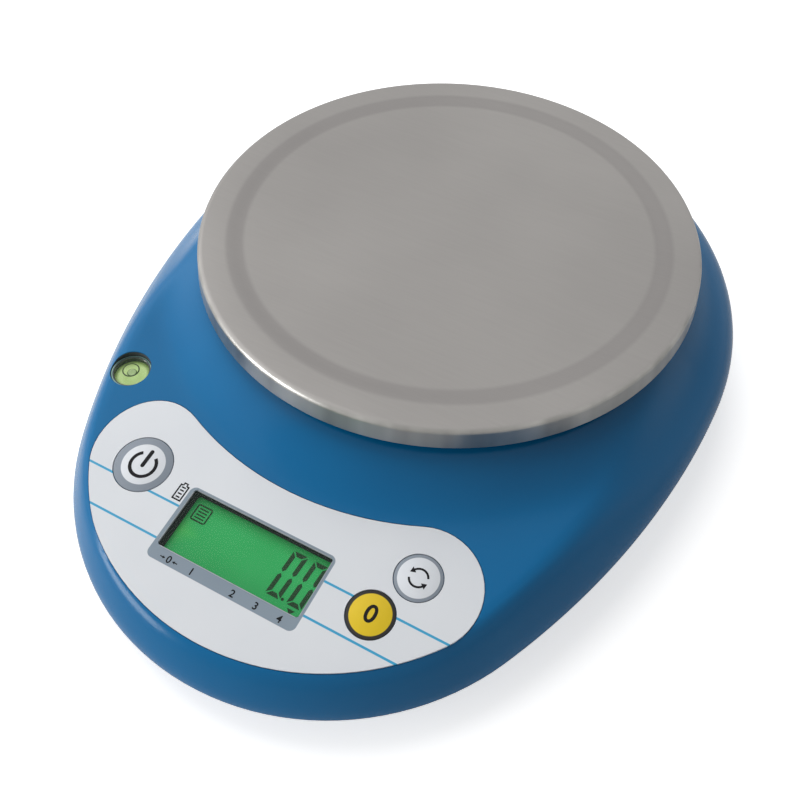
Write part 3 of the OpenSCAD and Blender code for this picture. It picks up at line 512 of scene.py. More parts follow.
on_deck = MM @ Matrix.Translation((0, PAN_Y - PANEL_REACH, DECK_Z)) @ Matrix.Rotation(DECK_TILT, 4, "X")
ALONG_DECK = 1 / cos(DECK_TILT)
PANEL_PAN_C = (0, PANEL_REACH * ALONG_DECK)
PANEL_FRONT_C = (0, (PANEL_REACH + FRONT_C.y) * ALONG_DECK)
PANEL_BACK_R = 89.2
PANEL_MARGIN = 6.6
PANEL_FRONT_R = (FRONT_REACH - PANEL_REACH) * ALONG_DECK + PANEL_FRONT_C[1] - PANEL_MARGIN
LOBE_R = 16.0
apart = PANEL_PAN_C[1] - PANEL_FRONT_C[1]
drop = ((PANEL_BACK_R + LOBE_R) ** 2 - (PANEL_FRONT_R - LOBE_R) ** 2 + apart ** 2) / (2 * apart)
LOBE_C = (sqrt((PANEL_BACK_R + LOBE_R) ** 2 - drop ** 2), PANEL_PAN_C[1] - drop)


def panel_shape(grow):
    """The panel's kidney of four tangent arcs, grown on all sides."""
    front_side = atan2(LOBE_C[1] - PANEL_FRONT_C[1], LOBE_C[0])
    back_side = atan2(LOBE_C[1] - PANEL_PAN_C[1], LOBE_C[0])
    shape = arc(LOBE_C, LOBE_R + grow, front_side, back_side + pi, 32)
    shape += arc(PANEL_PAN_C, PANEL_BACK_R - grow, back_side, -pi - back_side, 40)[1:]
    shape += arc((-LOBE_C[0], LOBE_C[1]), LOBE_R + grow, -back_side, pi - front_side, 32)[1:]
    shape += arc(PANEL_FRONT_C, PANEL_FRONT_R + grow, pi - front_side, 2 * pi + front_side, 72)[1:-1]
    return shape


TRIM_FROM = -40
TRIM_SHARE = 0.887


def trim_left(u, v):
    """Draws in the left lobe, which reaches a little less far than the right one."""
    return (u if u > TRIM_FROM else TRIM_FROM + (u - TRIM_FROM) * TRIM_SHARE, v)


GAP = 0.2
PANEL_T = 0.6
POWER_C = (2.4 - LOBE_C[0], LOBE_C[1] - 3.6)
MODE_C = (LOBE_C[0] - 1.1, LOBE_C[1] + 2.1)
ZERO_C = (LOBE_C[0] - 7, LOBE_C[1] - 11.4)
POWER_R = 8.05
SMALL_R = 6.15
KEYS = ((POWER_C, POWER_R), (MODE_C, SMALL_R), (ZERO_C, SMALL_R))
POCKET = 1.15
STEM_HOLE_R = 2.3
WINDOW_C = (-1.4, -2.7)
WINDOW_W = 42.0
WINDOW_H = 17.0
LEVEL_AT = (-61.4, -76.4)
LEVEL_HOLE_R = 5.9
INLET_Z = 20.5
INLET_R = 3.7


def outer_skin(name):
    """A spun disc whose rings are laid on the rows of the skin, turned face up."""
    bm = bmesh.new()
    profile = [bm.verts.new((k + 1, 0, 0)) for k in range(SEAM_ROWS + 1 + BEAD_ROWS + DECK_ROWS)]
    line = [bm.edges.new(pair) for pair in zip(profile, profile[1:])]
    bmesh.ops.spin(bm, geom=profile + line, axis=(0, 0, 1), cent=(0, 0, 0), steps=COLUMNS, angle=2 * pi,
                   use_merge=True, use_duplicate=False)
    for v in bm.verts:
        away = Vector(v.co.xy)
        v.co = on_skin(round(away.length) - 1, away.normalized())
    bmesh.ops.recalc_face_normals(bm, faces=bm.faces)
    if sum(f.normal.z for f in bm.faces) < 0:
        bmesh.ops.reverse_faces(bm, faces=bm.faces)
    bmesh.ops.transform(bm, matrix=on_pan, verts=bm.verts)
    return to_mesh(name, bm)


def cut_away(piece, meshes):
    """Takes the closed meshes out of a piece and keeps the result as its plain mesh."""
    cutters = bpy.data.collections.new("cutters")
    for k, mesh in enumerate(meshes):
        cutters.objects.link(bpy.data.objects.new(f"cutter_{k}", mesh))
    cut = piece.modifiers.new("cut", "BOOLEAN")
    cut.operand_type, cut.collection, cut.solver, cut.use_self = "COLLECTION", cutters, "EXACT", True
    depsgraph = bpy.context.evaluated_depsgraph_get()
    piece.data = bpy.data.meshes.new_from_object(piece.evaluated_get(depsgraph))
    piece.modifiers.clear()
    for tool in list(cutters.objects):
        bpy.data.objects.remove(tool)
    bpy.data.collections.remove(cutters)


shell = settle("upper_shell", outer_skin("upper_shell"), blue, "base", ["upper_housing"])
thick = shell.modifiers.new("thick", "SOLIDIFY")
thick.thickness, thick.offset, thick.use_even_offset = WALL / 1000, -1, True
cuts = [prism([trim_left(*at) for at in panel_shape(GAP)], -PANEL_T, 2, on_deck),
        prism(rounded(WINDOW_C, WINDOW_W + 0.6, WINDOW_H + 0.6, 1.4), -6, 3, on_deck),
        prism(disc(LEVEL_AT, LEVEL_HOLE_R), 15, 40, on_pan),
        prism(disc((0, -INLET_Z), INLET_R, 40), 80, 95, on_pan @ Matrix.Rotation(radians(-90), 4, "X"))]
cuts += [prism(disc(centre, radius + GAP), -POCKET, 3, on_deck) for centre, radius in KEYS]
cuts += [prism(disc(centre, STEM_HOLE_R, 32), -6, 0, on_deck) for centre, radius in KEYS]
cut_away(shell, cuts)
shell.data.name = "upper_shell"
shade(shell.data, 32)

# Display: the glass lies 2.5 mm under the panel on a light guide, in a white frame on the board, with a black
# foam gasket round the opening, dark as painted shade on its walls. Its segments show a zero reading, a menu
# mark and a unit pointer.
GLASS_TOP = -2.5
VIEW_C = (-1.05, -2.86)
VIEW_W = 41.0
VIEW_H = 16.4
READING_AT = (8.1, -8.85)
DIGIT_PITCH = 6.1
MENU_AT = (-20.4, -1.1)
MENU_W = 4.7
MENU_H = 4.8
STROKE = 0.45
NICK = 0.5


def mould(name, bm, basis, look, body, stands_for=(), crease=30):
    """Turns a bmesh in millimetres of the given basis into a piece."""
    bmesh.ops.transform(bm, matrix=basis, verts=bm.verts)
    mesh = to_mesh(name, bm)
    shade(mesh, crease)
    return settle(name, mesh, look, body, stands_for)


def flat_ring(outline, hole, low, high):
    """A flat ring between two outlines of as many points, as a bmesh."""
    bm = bmesh.new()
    loops = []
    for shape in (outline, hole):
        verts = [bm.verts.new((x, y, low)) for x, y in shape]
        loops += [bm.edges.new(pair) for pair in zip(verts, verts[1:] + verts[:1])]
    faces = bmesh.ops.bridge_loops(bm, edges=loops)["faces"]
    return thicken(bm, faces, high - low)


def segment_zero(left, foot, width=4.3, height=12.8, bar=1.2, gap=0.22, lean=0.06):
    """The six bars of a seven-segment 0, leaning slightly to the right."""
    right, middle = left + width, foot + height / 2
    end, point = gap + 0.1, 2 * gap + 0.5
    bars = []
    for y, s in ((foot + height, -1), (foot, 1)):
        bars.append([(left + end, y), (right - end, y), (right - bar - gap, y + s * bar),
                     (left + bar + gap, y + s * bar)])
    for x, s in ((left, 1), (right, -1)):
        for y, t in ((foot + height, -1), (foot, 1)):
            bars.append([(x, y + t * end), (x + s * bar, y + t * (bar + gap)),
                         (x + s * bar, middle - t * point), (x + s * bar / 2, middle - t * gap),
                         (x, middle - t * point)])
    return [[(x + (y - foot) * lean, y) for x, y in shape] for shape in bars]


def box(x0, x1, y0, y1):
    return [(x0, y0), (x1, y0), (x1, y1), (x0, y1)]


def menu_mark(left, foot):
    """A box with nicked corners round four lines."""
    right, top = left + MENU_W, foot + MENU_H
    shapes = [box(left, left + STROKE, foot + NICK, top - NICK),
              box(right - STROKE, right, foot + NICK, top - NICK),
              box(left + NICK, right - NICK, foot, foot + STROKE),
              box(left + NICK, right - NICK, top - STROKE, top)]
    for x, s in ((left, 1), (right, -1)):
        for y, t in ((foot, 1), (top, -1)):
            shapes.append([(x, y + NICK * t), (x + NICK * s, y), (x + NICK * s, y + STROKE * t),
                           (x + STROKE * s, y + NICK * t)][::s * t])
    lines = [foot + rise for rise in (1.1, 1.97, 2.83, 3.7)]
    return shapes + [box(left + 0.95, right - 0.95, y - 0.21, y + 0.21) for y in lines]


def deck_mm(w):
    """Millimetres across the panel, up the panel and above it."""
    to_deck = {"Vector": place(w), "Location": (0, (PAN_Y - PANEL_REACH) / 1000, DECK_Z / 1000),
               "Rotation": (DECK_TILT, 0, 0), "Scale": (0.001, 0.001, 0.001)}
    return w.node("Mapping", {"vector_type": "TEXTURE"}, to_deck)


def lit_glass(w):
    """Green glass in a painted glow, a painted pool of light at its left, and painted shade at the top."""
    u, v, _ = split(w, deck_mm(w))
    # painted pool of light at the left, where the backlight's lamp sits
    lamp = (abs(u + 21) / 9 + abs(v + 4.5) / 7).inside(1.6)
    # painted shade at the top, cast by the edge of the opening
    top = (1 - v / 3).inside(1.0)
    cloud = noise(w, 90, 1.0)
    green = lamp.mix(cloud.mix(srgb(34, 166, 84), srgb(48, 174, 95)), srgb(84, 204, 84))
    green = (top * 0.6).mix(green, srgb(22, 142, 62))
    # the emission is a painted glow that stands in for the backlight
    return {"Base Color": green, "Roughness": 0.3, "Specular IOR Level": 0.2, "Emission Color": green,
            "Emission Strength": 0.2, "Normal": bump(w, noise(w, 3000), 0.000002)}


def crystal(w):
    shimmer = noise(w, 1200)
    return {"Base Color": shimmer.mix(srgb(28, 62, 34), srgb(40, 74, 44)), "Roughness": 0.5,
            "Specular IOR Level": 0.1}


# A black lining whose dark is painted shade on the walls of the opening.
def foam(w):
    pores = noise(w, 2200, 3.0)
    return {"Base Color": pores.mix(srgb(6, 12, 10), srgb(16, 24, 20)), "Roughness": 0.9,
            "Specular IOR Level": 0.1, "Normal": bump(w, pores, 0.00004)}


def clear(w):
    smear = noise(w, 40, 1.0)
    return {"Base Color": srgb(90, 104, 98), "Roughness": 0.05 + smear * 0.05, "Alpha": 0.08}


def edged(w):
    """The clear pane with its edge printed in a pale line."""
    u, v, _ = split(w, deck_mm(w))
    across, up = abs(u - WINDOW_C[0]) - WINDOW_W / 2, abs(v - WINDOW_C[1]) - WINDOW_H / 2
    line = 1 - across.most(up).inside(0.08)
    smear = noise(w, 40, 1.0)
    return {"Base Color": line.mix(srgb(90, 104, 98), srgb(176, 184, 190)),
            "Roughness": 0.05 + smear * 0.05, "Alpha": 0.08 + line * 0.92}


dress(nodes["lcd_panel"], finish("lit_glass", lit_glass))
light_guide = finish("light_guide", moulded((214, 236, 214), (232, 246, 228), 0.2, texture=800))
dress(nodes["lcd_backlight"], light_guide)
dress(nodes["lcd_holder"], finish("white_frame", moulded((226, 226, 222), (238, 238, 234), 0.45)))
left, foot = READING_AT
marks = segment_zero(left, foot) + segment_zero(left + DIGIT_PITCH, foot)
marks += [disc((13.0, -8.35), 0.42, 20), [(15.2, -9.6), (16.35, -10.9), (17.5, -9.6)]]
marks += menu_mark(*MENU_AT)
mould("segments", plates(marks, GLASS_TOP + 0.005, GLASS_TOP + 0.03), on_deck, finish("crystal", crystal),
      "base")
shade_gasket = flat_ring(rounded(WINDOW_C, WINDOW_W + 0.56, WINDOW_H + 0.56, 1.4),
                   rounded(VIEW_C, VIEW_W, VIEW_H, 0.9), GLASS_TOP + 0.03, -PANEL_T - 0.02)
mould("shade_gasket", shade_gasket, on_deck, finish("black_shade_foam", foam), "base")
pane = plates([rounded(WINDOW_C, WINDOW_W + 0.36, WINDOW_H + 0.36, 1.3)], -PANEL_T, -0.02)
bmesh.ops.bevel(pane, geom=[e for e in pane.edges if e.calc_face_angle() > 1], offset=0.06, segments=2,
                profile=0.5, affect="EDGES", material=-1)
mould("window_pane", pane, on_deck, finish("clear_pane", edged), "base", ["lcd_window"])

# Control panel: a printed polyester sheet stuck into the recess, white with two blue lines and a grey frame
# round the window. A band of the frame carries plain numbers, and a battery mark stands beside it.
FRAME_C = (-1.53, -4.25)
FRAME_HALF = (22.03, 10.75)
FRAME_CORNER = 1.8
LINES_V = (-0.17, -10.0)
LINE_HALF = 0.31
BAND_V = -13.5
BAND_ZERO_U = -17.1
INK = (0.004, 0.025)
NUMERAL_Z = 0.013
NUMERAL_HALF_T = 0.012


def print_on(w):
    u, v, _ = split(w, deck_mm(w))
    across = (abs(u - FRAME_C[0]) - (FRAME_HALF[0] - FRAME_CORNER)).most(0.0)
    up = (abs(v - FRAME_C[1]) - (FRAME_HALF[1] - FRAME_CORNER)).most(0.0)
    grey = (across.reach(up) - FRAME_CORNER).inside(0.12)
    upper, lower = [abs(v - at) - LINE_HALF for at in LINES_V]
    drift = noise(w, 60, 1.0)
    paper = drift.mix(srgb(216, 220, 225), srgb(223, 226, 230))
    lined = upper.least(lower).inside(0.12).mix(paper, srgb(44, 158, 200))
    framed = grey.mix(lined, drift.mix(srgb(122, 137, 150), srgb(134, 148, 160)))
    peel = noise(w, 1300, 2.0)
    return {"Base Color": framed, "Roughness": 0.34 + peel * 0.08, "Normal": bump(w, peel, 0.000006)}


def dark_ink(w):
    wet = noise(w, 900)
    return {"Base Color": wet.mix(srgb(10, 10, 14), srgb(20, 20, 24)), "Roughness": 0.5,
            "Specular IOR Level": 0.2}


def ring(centre, inner, outer, start, end, count):
    """Short four-sided plates round an arc."""
    a, b = arc(centre, inner, start, end, count), arc(centre, outer, start, end, count)
    return [[a[k], b[k], b[k + 1], a[k + 1]] for k in range(count)]


def glyphs(name, numerals, size, body):
    """Plain numerals as thin plates on the deck."""
    bm = bmesh.new()
    for text, (x, y) in numerals:
        type_curve = bpy.data.curves.new("numeral", "FONT")
        type_curve.body, type_curve.size, type_curve.extrude = text, size, NUMERAL_HALF_T
        type_curve.align_x, type_curve.align_y, type_curve.offset = "CENTER", "CENTER", size * 0.02
        temp = bpy.data.objects.new("numeral", type_curve)
        flat = bpy.data.meshes.new_from_object(temp)
        flat.transform(Matrix.Translation((x, y, NUMERAL_Z)))
        bm.from_mesh(flat)
        bpy.data.objects.remove(temp)
        bpy.data.meshes.remove(flat)
    bmesh.ops.remove_doubles(bm, verts=bm.verts, dist=0.0005)
    mould(name, bm, on_deck, ink, body)


def inward_arrows(x, y):
    """Two short arrows that point at a numeral from both sides."""
    shapes = []
    for s in (-1, 1):
        shapes += [box(*sorted((x + s * 1.2, x + s * 2.6)), y - 0.13, y + 0.13),
                   [(x + s * 1.1, y), (x + s * 1.8, y - 0.4), (x + s * 1.8, y + 0.4)][::-s]]
    return shapes


def battery_mark(left, foot):
    """The outline of a cell with its pole on top, and four bars in it."""
    right, top, middle = left + 2.8, foot + 4.63, left + 1.4
    outline = [box(left, left + 0.42, foot, top), box(right - 0.42, right, foot, top),
               box(left + 0.42, right - 0.42, foot, foot + 0.4)]
    for s in (-1, 1):
        outline += [box(*sorted((middle + s * 0.98, middle + s * 0.67)), top - 0.42, top),
                    box(*sorted((middle + s * 0.67, middle + s * 0.33)), top - 0.25, top + 0.7)]
    outline.append(box(middle - 0.33, middle + 0.33, top + 0.33, top + 0.7))
    levels = [foot + rise for rise in (0.78, 1.78, 2.78, 3.68)]
    return outline + [box(middle - 0.6, middle + 0.6, y, y + 0.4) for y in levels]


ink = finish("dark_ink", dark_ink)
overlay = merged("control_overlay")
bmesh.ops.transform(overlay, matrix=on_deck.inverted(), verts=overlay.verts)
for v in overlay.verts:
    if hypot(v.co.x - POWER_C[0], v.co.y - POWER_C[1]) > POWER_R + 1:
        v.co.x, v.co.y = trim_left(v.co.x, v.co.y)
panel = mould("printed_panel", overlay, on_deck, finish("printed_sheet", print_on), "base",
              ["control_overlay"])
rim = panel.modifiers.new("rim", "BEVEL")
rim.width, rim.segments, rim.angle_limit, rim.harden_normals = 0.00006, 2, radians(30), True
marks = inward_arrows(BAND_ZERO_U, BAND_V) + battery_mark(-26.85, 0.92)
mould("panel_marks", plates(marks, *INK), on_deck, ink, "base")
numbers = [(str(k), (u, BAND_V)) for k, u in enumerate((BAND_ZERO_U, -10.2, 2.1, 8.9, 15.8))]
glyphs("panel_numbers", numbers, 2.7, "base")

# Keys: three hard caps level with the panel, each on a stem that pushes a tact switch. The power key has a
# wide grey ring, the function key a thin one, and the yellow key a black ring and a plain 0.
CAP_T = 0.6
STEM_R = 2.0
STEM_LEN = 5.0
WHITE_CAP = (217, 221, 226)
YELLOW_CAP = (220, 188, 22)
GREY_RING = (132, 141, 152)
BLACK_RING = (20, 17, 15)


def cap(centre, core, rim, band_inner):
    """A cap's print: a plain core and a ring of another colour outside band_inner."""
    def recipe(w):
        u, v, _ = split(w, deck_mm(w))
        away = (u - centre[0]).reach(v - centre[1])
        drift = noise(w, 300, 1.0)
        base = drift.mix(srgb(*core), srgb(*[min(255, c + 6) for c in core]))
        grain = noise(w, 1500)
        return {"Base Color": (band_inner - away).inside(0.12).mix(base, srgb(*rim)),
                "Roughness": 0.36 + grain * 0.08, "Normal": bump(w, grain, 0.000006)}
    return recipe


def lathe(shape, steps):
    """A turned shape about the upright axis of its basis, as a bmesh."""
    bm = bmesh.new()
    ends = [bm.verts.new((x, 0, z)) for x, z in shape]
    geom = ends + [bm.edges.new(pair) for pair in zip(ends, ends[1:])]
    bmesh.ops.spin(bm, geom=geom, axis=(0, 0, 1), cent=(0, 0, 0), steps=steps, angle=2 * pi, use_merge=True)
    bmesh.ops.remove_doubles(bm, verts=bm.verts, dist=0.0005)
    bmesh.ops.recalc_face_normals(bm, faces=bm.faces)
    return bm


def key(name, centre, radius, look):
    """A turned cap with a rounded edge on its stem."""
    shape = [(0, 0), (radius - 0.14, 0), (radius - 0.04, -0.04), (radius, -0.14), (radius, -CAP_T),
             (STEM_R, -CAP_T), (STEM_R, -STEM_LEN), (0, -STEM_LEN)]
    at_key = on_deck @ Matrix.Translation((*centre, 0))
    mould(name + "_cap", lathe(shape, 96), at_key, look, name, [name])


def power_mark(x, y):
    """A ring that is open at the top, with a bar in the opening."""
    bar = rounded((x, y + 1.85), 1.15, 5.6, 0.55)
    return ring((x, y - 0.1), 3.1, 4.05, radians(125), radians(415), 56) + [bar]


def turning_arrows(x, y, inner=2.1, outer=2.65, sweep=120):
    """Two arcs round a circle, each with an arrow head at its end."""
    shapes = []
    for start in (20, 200):
        shapes += ring((x, y), inner, outer, radians(start), radians(start + sweep), 20)
        out = Vector((cos(radians(start + sweep)), sin(radians(start + sweep))))
        onward = Vector((-out.y, out.x))
        root = Vector((x, y)) + out * (inner + outer) / 2
        shapes.append([root + 0.85 * out, root + 1.3 * onward, root - 0.85 * out])
    return shapes


power_print = finish("power_print", cap(POWER_C, WHITE_CAP, GREY_RING, 6.0))
key("power_key", POWER_C, POWER_R, power_print)
mode_print = finish("mode_print", cap(MODE_C, WHITE_CAP, GREY_RING, 5.3))
key("mode_key", MODE_C, SMALL_R, mode_print)
zero_print = finish("zero_print", cap(ZERO_C, YELLOW_CAP, BLACK_RING, 5.3))
key("zero_key", ZERO_C, SMALL_R, zero_print)
mould("power_symbol", plates(power_mark(*POWER_C), *INK), on_deck, ink, "power_key")
mould("mode_symbol", plates(turning_arrows(*MODE_C), *INK), on_deck, ink, "mode_key")
glyphs("zero_numeral", [("0", ZERO_C)], 6.4, "zero_key")
for name in ("power_plunger", "mode_plunger", "zero_plunger"):
    dress(nodes[name], epoxy)

# Bubble level: a clear acrylic cup with a yellow-green liquid, an air bubble, and a ring printed on its lens.
# It stands level in a sleeve of the sloping deck, and a dark sheet of painted shade lines the hole above it.
# The cup's wall and the liquid's edge are painted dark as shade, the cup's top rim carries a painted
# highlight, the liquid a painted glow, and the bubble's edge a painted dark ring.
LINER = 0.15
BUBBLE_AT = (-0.6, 0.5)
BUBBLE_R = 1.4
low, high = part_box("level_cup")
LEVEL_TOP = high.z * 1000
LEVEL_H = (high.z - low.z) * 1000
CUP_R = (high.x - low.x) * 500
WELL_R = CUP_R - 0.75
WELL_DEPTH = 2.6
SPIRIT_TOP = -1.6
LENS_FOOT = -1.0
DOME = 0.7
on_level = on_pan @ Matrix.Translation((*LEVEL_AT, LEVEL_TOP))


def level_place(w, aside=(0, 0)):
    """Millimetres away from the level's axis, or from one beside it, and above its top."""
    x, y, z = split(w, place(w))
    dx, dy = x * 1000 - (LEVEL_AT[0] + aside[0]), y * 1000 - (PAN_Y + LEVEL_AT[1] + aside[1])
    return dx.reach(dy), z * 1000 - LEVEL_TOP


def clear_wall(w):
    away, depth = level_place(w)
    haze = noise(w, 600, 1.0)
    # a painted highlight round the cup's top rim
    edge = (CUP_R - 0.3 - away).inside(0.06) * (-0.25 - depth).inside(0.1)
    # the clear wall's dark grey is painted shade inside the cup
    shaded_wall = haze.mix(srgb(66, 74, 76), srgb(84, 92, 92))
    return {"Base Color": edge.mix(shaded_wall, srgb(150, 200, 184)), "Roughness": 0.12 + haze * 0.08}


def spirit(w):
    away, _ = level_place(w)
    haze = noise(w, 200, 1.0)
    # painted shade towards the edge of the liquid, under the cup's wall
    rim = (4.2 - away).inside(0.8)
    green = rim.mix(haze.mix(srgb(200, 234, 142), srgb(214, 242, 160)), srgb(150, 184, 98))
    # the emission is a painted glow that brightens the liquid in the cup's shade
    return {"Base Color": green, "Roughness": 0.1 + haze * 0.05, "Emission Color": green,
            "Emission Strength": 0.12}


def air(w):
    away, _ = level_place(w, BUBBLE_AT)
    haze = noise(w, 900, 1.0)
    # a painted dark ring where the bubble's edge bends the light
    rim = (abs(away - 1.28) - 0.12).inside(0.1)
    return {"Base Color": rim.mix(haze.mix(srgb(198, 230, 156), srgb(208, 236, 168)), srgb(104, 138, 72)),
            "Roughness": 0.1 + haze * 0.06}


def ring_ink(w):
    wet = noise(w, 900)
    return {"Base Color": wet.mix(srgb(28, 54, 10), srgb(40, 66, 18)), "Roughness": 0.4}


def dome(away):
    return DOME * (1 - (away / WELL_R) ** 2)


cup = [(0, -LEVEL_H), (CUP_R - 0.2, -LEVEL_H), (CUP_R, 0.2 - LEVEL_H), (CUP_R, -0.12), (CUP_R - 0.1, 0),
       (CUP_R - 0.6, 0), (CUP_R - 0.72, -0.12), (CUP_R - 0.72, -WELL_DEPTH), (0, -WELL_DEPTH)]
mould("level_vial", lathe(cup, 72), on_level, finish("clear_wall", clear_wall), "base",
      ["level_cup"])
pool = [(0, 0.05 - WELL_DEPTH), (WELL_R, 0.05 - WELL_DEPTH), (WELL_R, SPIRIT_TOP), (0, SPIRIT_TOP)]
mould("level_spirit", lathe(pool, 72), on_level, finish("spirit", spirit), "base",
      ["level_liquid"])
bubble = [(0, SPIRIT_TOP + 0.01), (BUBBLE_R, SPIRIT_TOP + 0.01), (BUBBLE_R - 0.2, SPIRIT_TOP + 0.2),
          (0, SPIRIT_TOP + 0.3)]
mould("level_bubble", lathe(bubble, 48), on_level @ Matrix.Translation((*BUBBLE_AT, 0)),
      finish("air", air), "base")
lens = [(0, LENS_FOOT), (WELL_R, LENS_FOOT)]
lens += [(WELL_R * k / 12, dome(WELL_R * k / 12) - 0.05) for k in range(12, -1, -1)]
mould("level_window", lathe(lens, 72), on_level, finish("level_lens", clear), "base",
      ["level_lens"])
bullseye = plates(ring((0, 0), 2.1, 2.46, 0, 2 * pi, 64), 0, 0.01)
for v in bullseye.verts:
    v.co.z += dome(v.co.xy.length) - 0.045
mould("level_ring", bullseye, on_level, finish("ring_ink", ring_ink), "base")
# a dark sheet in the hole, as painted shade
shade_liner = flat_ring(disc((0, 0), LEVEL_HOLE_R - 0.02), disc((0, 0), LEVEL_HOLE_R - LINER), -0.6, 1)
for v in shade_liner.verts:
    if v.co.z > 0:
        v.co.z = skin_height(v.co.x + LEVEL_AT[0], v.co.y + LEVEL_AT[1]) - 0.25 - LEVEL_TOP
mould("level_shade_liner", shade_liner, on_level, finish("painted_shade_sheet", moulded((62, 66, 70), (76, 80, 84), 0.5)), "base")

# Pan carrier: a dark glass-filled moulding on the load plate, with four arms and a ring under the pan and
# soft rubber pads that hold it. Two screws tie its hub to the plate.
spider_nylon = finish("spider_nylon", moulded((64, 66, 70), (84, 86, 90), 0.55))
soften("pan_carrier", "spider", spider_nylon, "platform", edge=0.0004)
dress(nodes["carrier_screws"], zinc)
soften("carrier_pads", "spider_pads", foot_rubber, "platform", edge=0.0002)

# Pan: pressed from 0.8 mm stainless sheet, with a shallow floor, a soft step round it, a rolled edge and a
# short skirt. The top is brushed fine and even, and the skirt is left brighter, with upright streaks of
# painted reflection.
PAN_R = 73.0
PAN_TOP = 49.0
SHEET = 0.8
FLOOR_R = 59.5
FLOOR_DEPTH = 0.5
STEP_W = 5.5
STEP_SHADE = (0.0622, 0.0026)
EDGE_R = 1.8
FLARE = 0.6
SKIRT = 6.6
HAIR_SCALE = (90.0, 2600.0, 90.0)
REFLECTION_STREAK_SCALE = (110.0, 110.0, 4.0)


def drawn_out(w, scale, detail):
    """Noise stretched by its own scale in each direction."""
    return noise(w, 1.0, detail, w.node("Mapping", {}, {"Vector": place(w), "Scale": scale}))


def brushed(w):
    """Fine hairs across the top, a darker ring on the step, upright streaks of painted reflection round the
    skirt.
    """
    x, y, _ = split(w, place(w))
    away = x.reach(y - PAN_Y / 1000)
    hairs, reflection_streaks = drawn_out(w, HAIR_SCALE, 3.0), drawn_out(w, REFLECTION_STREAK_SCALE, 2.0)
    cloud = noise(w, 16, 2.0)
    step = (abs(away - STEP_SHADE[0]) - STEP_SHADE[1]).inside(0.0012)
    skirt = ((PAN_R - SHEET) / 1000 - away).inside(0.0006)
    top = (cloud * 0.7 + hairs * 0.3).mix(srgb(154, 151, 149), srgb(186, 183, 180))
    # the skirt's upright light and dark streaks are painted reflection
    side = reflection_streaks.mix(srgb(112, 111, 108), srgb(204, 202, 198))
    return {"Base Color": (step * 0.3).mix(skirt.mix(top, side), srgb(132, 128, 128)), "Metallic": 1.0,
            "Roughness": 0.42 + hairs * 0.1 + cloud * 0.08 - skirt * 0.16,
            "Normal": bump(w, hairs * (1 - skirt), 0.000003)}


def bend(radius, top, turn, start, end, count=8):
    return [(radius - turn + turn * cos(a), top - turn + turn * sin(a))
            for a in [radians(start + (end - start) * k / count) for k in range(count + 1)]]


def step_down(drop_from, count=10):
    """The soft step between the floor and the raised border."""
    return [(FLOOR_R + STEP_W * k / count, drop_from - FLOOR_DEPTH * (1 - ease(k / count)))
            for k in range(count + 1)]


shape = [(0, PAN_TOP - FLOOR_DEPTH), (30, PAN_TOP - FLOOR_DEPTH)] + step_down(PAN_TOP)
shape += bend(PAN_R, PAN_TOP, EDGE_R, 90, 0)
outside, inside, hem = PAN_R + FLARE, PAN_R + FLARE - SHEET, PAN_TOP - SKIRT
shape += [(outside - 0.05, hem + 0.2), (outside - 0.2, hem), (inside + 0.2, hem), (inside + 0.05, hem + 0.2)]
shape += bend(PAN_R - SHEET, PAN_TOP - SHEET, EDGE_R - SHEET, 0, 90)
shape += step_down(PAN_TOP - SHEET)[::-1] + [(0, PAN_TOP - FLOOR_DEPTH - SHEET)]
mould("weighing_pan", lathe(shape, 256), on_pan, finish("brushed_steel", brushed), "pan",
      ["pan"], crease=40)

# Stage: a pale floor under an even sky. A lamp high behind the left side, which nothing mirrors, lets the pan
# shade the slope below it. Another lights the left side, and a low one draws the highlight on the front left.
BLACK = (0, 0, 0, 1)
WHITE = (1, 1, 1, 1)
PALE = (0.9, 0.9, 0.9, 1)


def pale_floor(w):
    """A pale floor that turns into the white of the background away from the object."""
    seen = w.node("LightPath", out="Is Camera Ray")
    x, y, _ = split(w, place(w))
    near = (x.reach(y) - 0.42).inside(0.3)
    return {"Base Color": near.mix(BLACK, PALE), "Roughness": 1.0, "Specular IOR Level": 0.0,
            "Emission Color": WHITE,
            "Emission Strength": (1 - near * 0.4) * seen + (1 - near) * (1 - seen) * 0.6}


round_floor = bmesh.new()
bmesh.ops.create_circle(round_floor, cap_ends=True, segments=96, radius=3)
floor = bpy.data.objects.new("floor", to_mesh("floor", round_floor))
scene.collection.objects.link(floor)
dress(floor, finish("pale_floor", pale_floor))

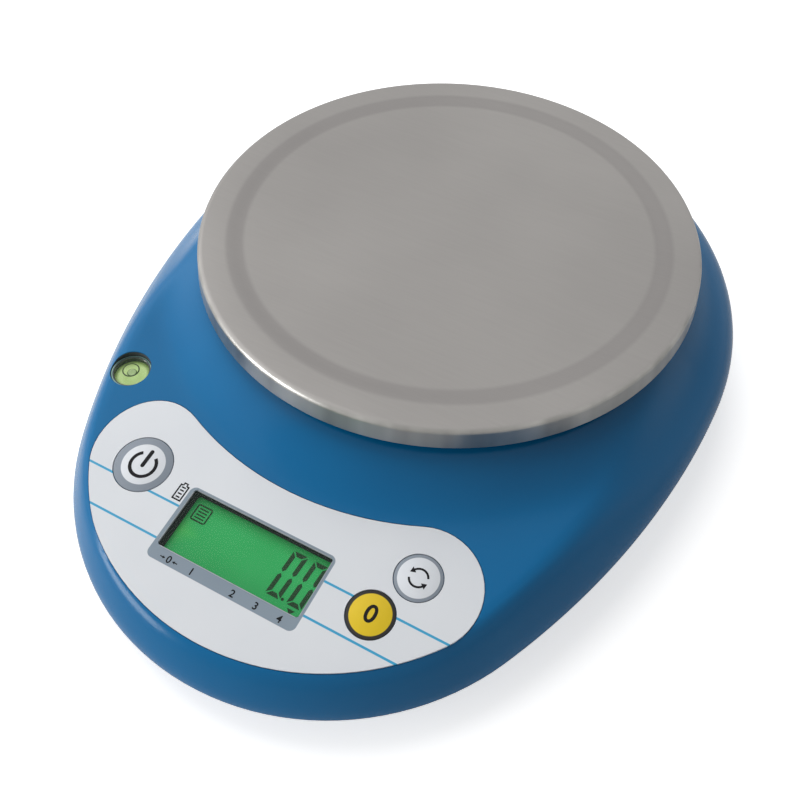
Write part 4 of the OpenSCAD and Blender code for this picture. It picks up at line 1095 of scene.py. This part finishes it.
AMBIENT = 0.27
MIRRORED_SKY = 0.75
world = bpy.data.worlds.new("studio")
world.use_nodes = True
scene.world = world
sky = Wire(world.node_tree)
camera_ray, glossy_ray, clear_ray = [sky.node("LightPath", out="Is " + kind + " Ray")
                                     for kind in ("Camera", "Glossy", "Transmission")]
seen = camera_ray.most(clear_ray).most(glossy_ray * MIRRORED_SKY)
backdrop = world.node_tree.nodes["Background"]
backdrop.inputs["Color"].default_value = WHITE
sky.feed(backdrop.inputs["Strength"], seen * (1 - AMBIENT) + AMBIENT)

for name, spot, size, power, mirrored in (("top_lamp", (-0.45, 0.3, 0.85), 1.0, 6.5, False),
                                          ("left_lamp", (-0.82, -0.08, 0.58), 1.3, 2.6, True),
                                          ("low_lamp", (-0.62, -0.66, 0.12), 0.5, 5.0, True)):
    lamp = bpy.data.lights.new(name, "AREA")
    lamp.shape, lamp.size, lamp.energy = "DISK", size, power
    holder = bpy.data.objects.new(name, lamp)
    holder.visible_glossy = mirrored
    scene.collection.objects.link(holder)
    holder.location = spot
    holder.rotation_euler = (Vector((0, 0, 0.02)) - Vector(spot)).to_track_quat("-Z", "Y").to_euler()

# Camera: fitted to the photograph, with the lens and the slight roll that came out of the fit. It looks over
# the front right corner from close by.
AZ, EL, ROLL = radians(28.433), radians(52.479), radians(0.425)
AWAY, ASIDE, RAISED = 0.27644, -0.01421, -0.05017
FOCAL_PX = 947.086
PHOTO_PX = 800
SENSOR = 36
back = Vector((sin(AZ) * cos(EL), -cos(AZ) * cos(EL), sin(EL)))
level = Vector((cos(AZ), sin(AZ), 0))
lift = level.cross(-back)
right = cos(ROLL) * level + sin(ROLL) * lift
up = -sin(ROLL) * level + cos(ROLL) * lift
view = Matrix((right, up, back)).transposed().to_4x4()
view.translation = on_pan @ Vector((0, 0, PAN_TOP)) + back * AWAY + right * ASIDE + up * RAISED
camera = bpy.data.cameras.new("camera")
camera.sensor_width, camera.lens = SENSOR, FOCAL_PX / PHOTO_PX * SENSOR
camera_holder = bpy.data.objects.new("camera", camera)
scene.collection.objects.link(camera_holder)
camera_holder.matrix_world = view
scene.camera = camera_holder
scene.view_settings.view_transform = "Standard"
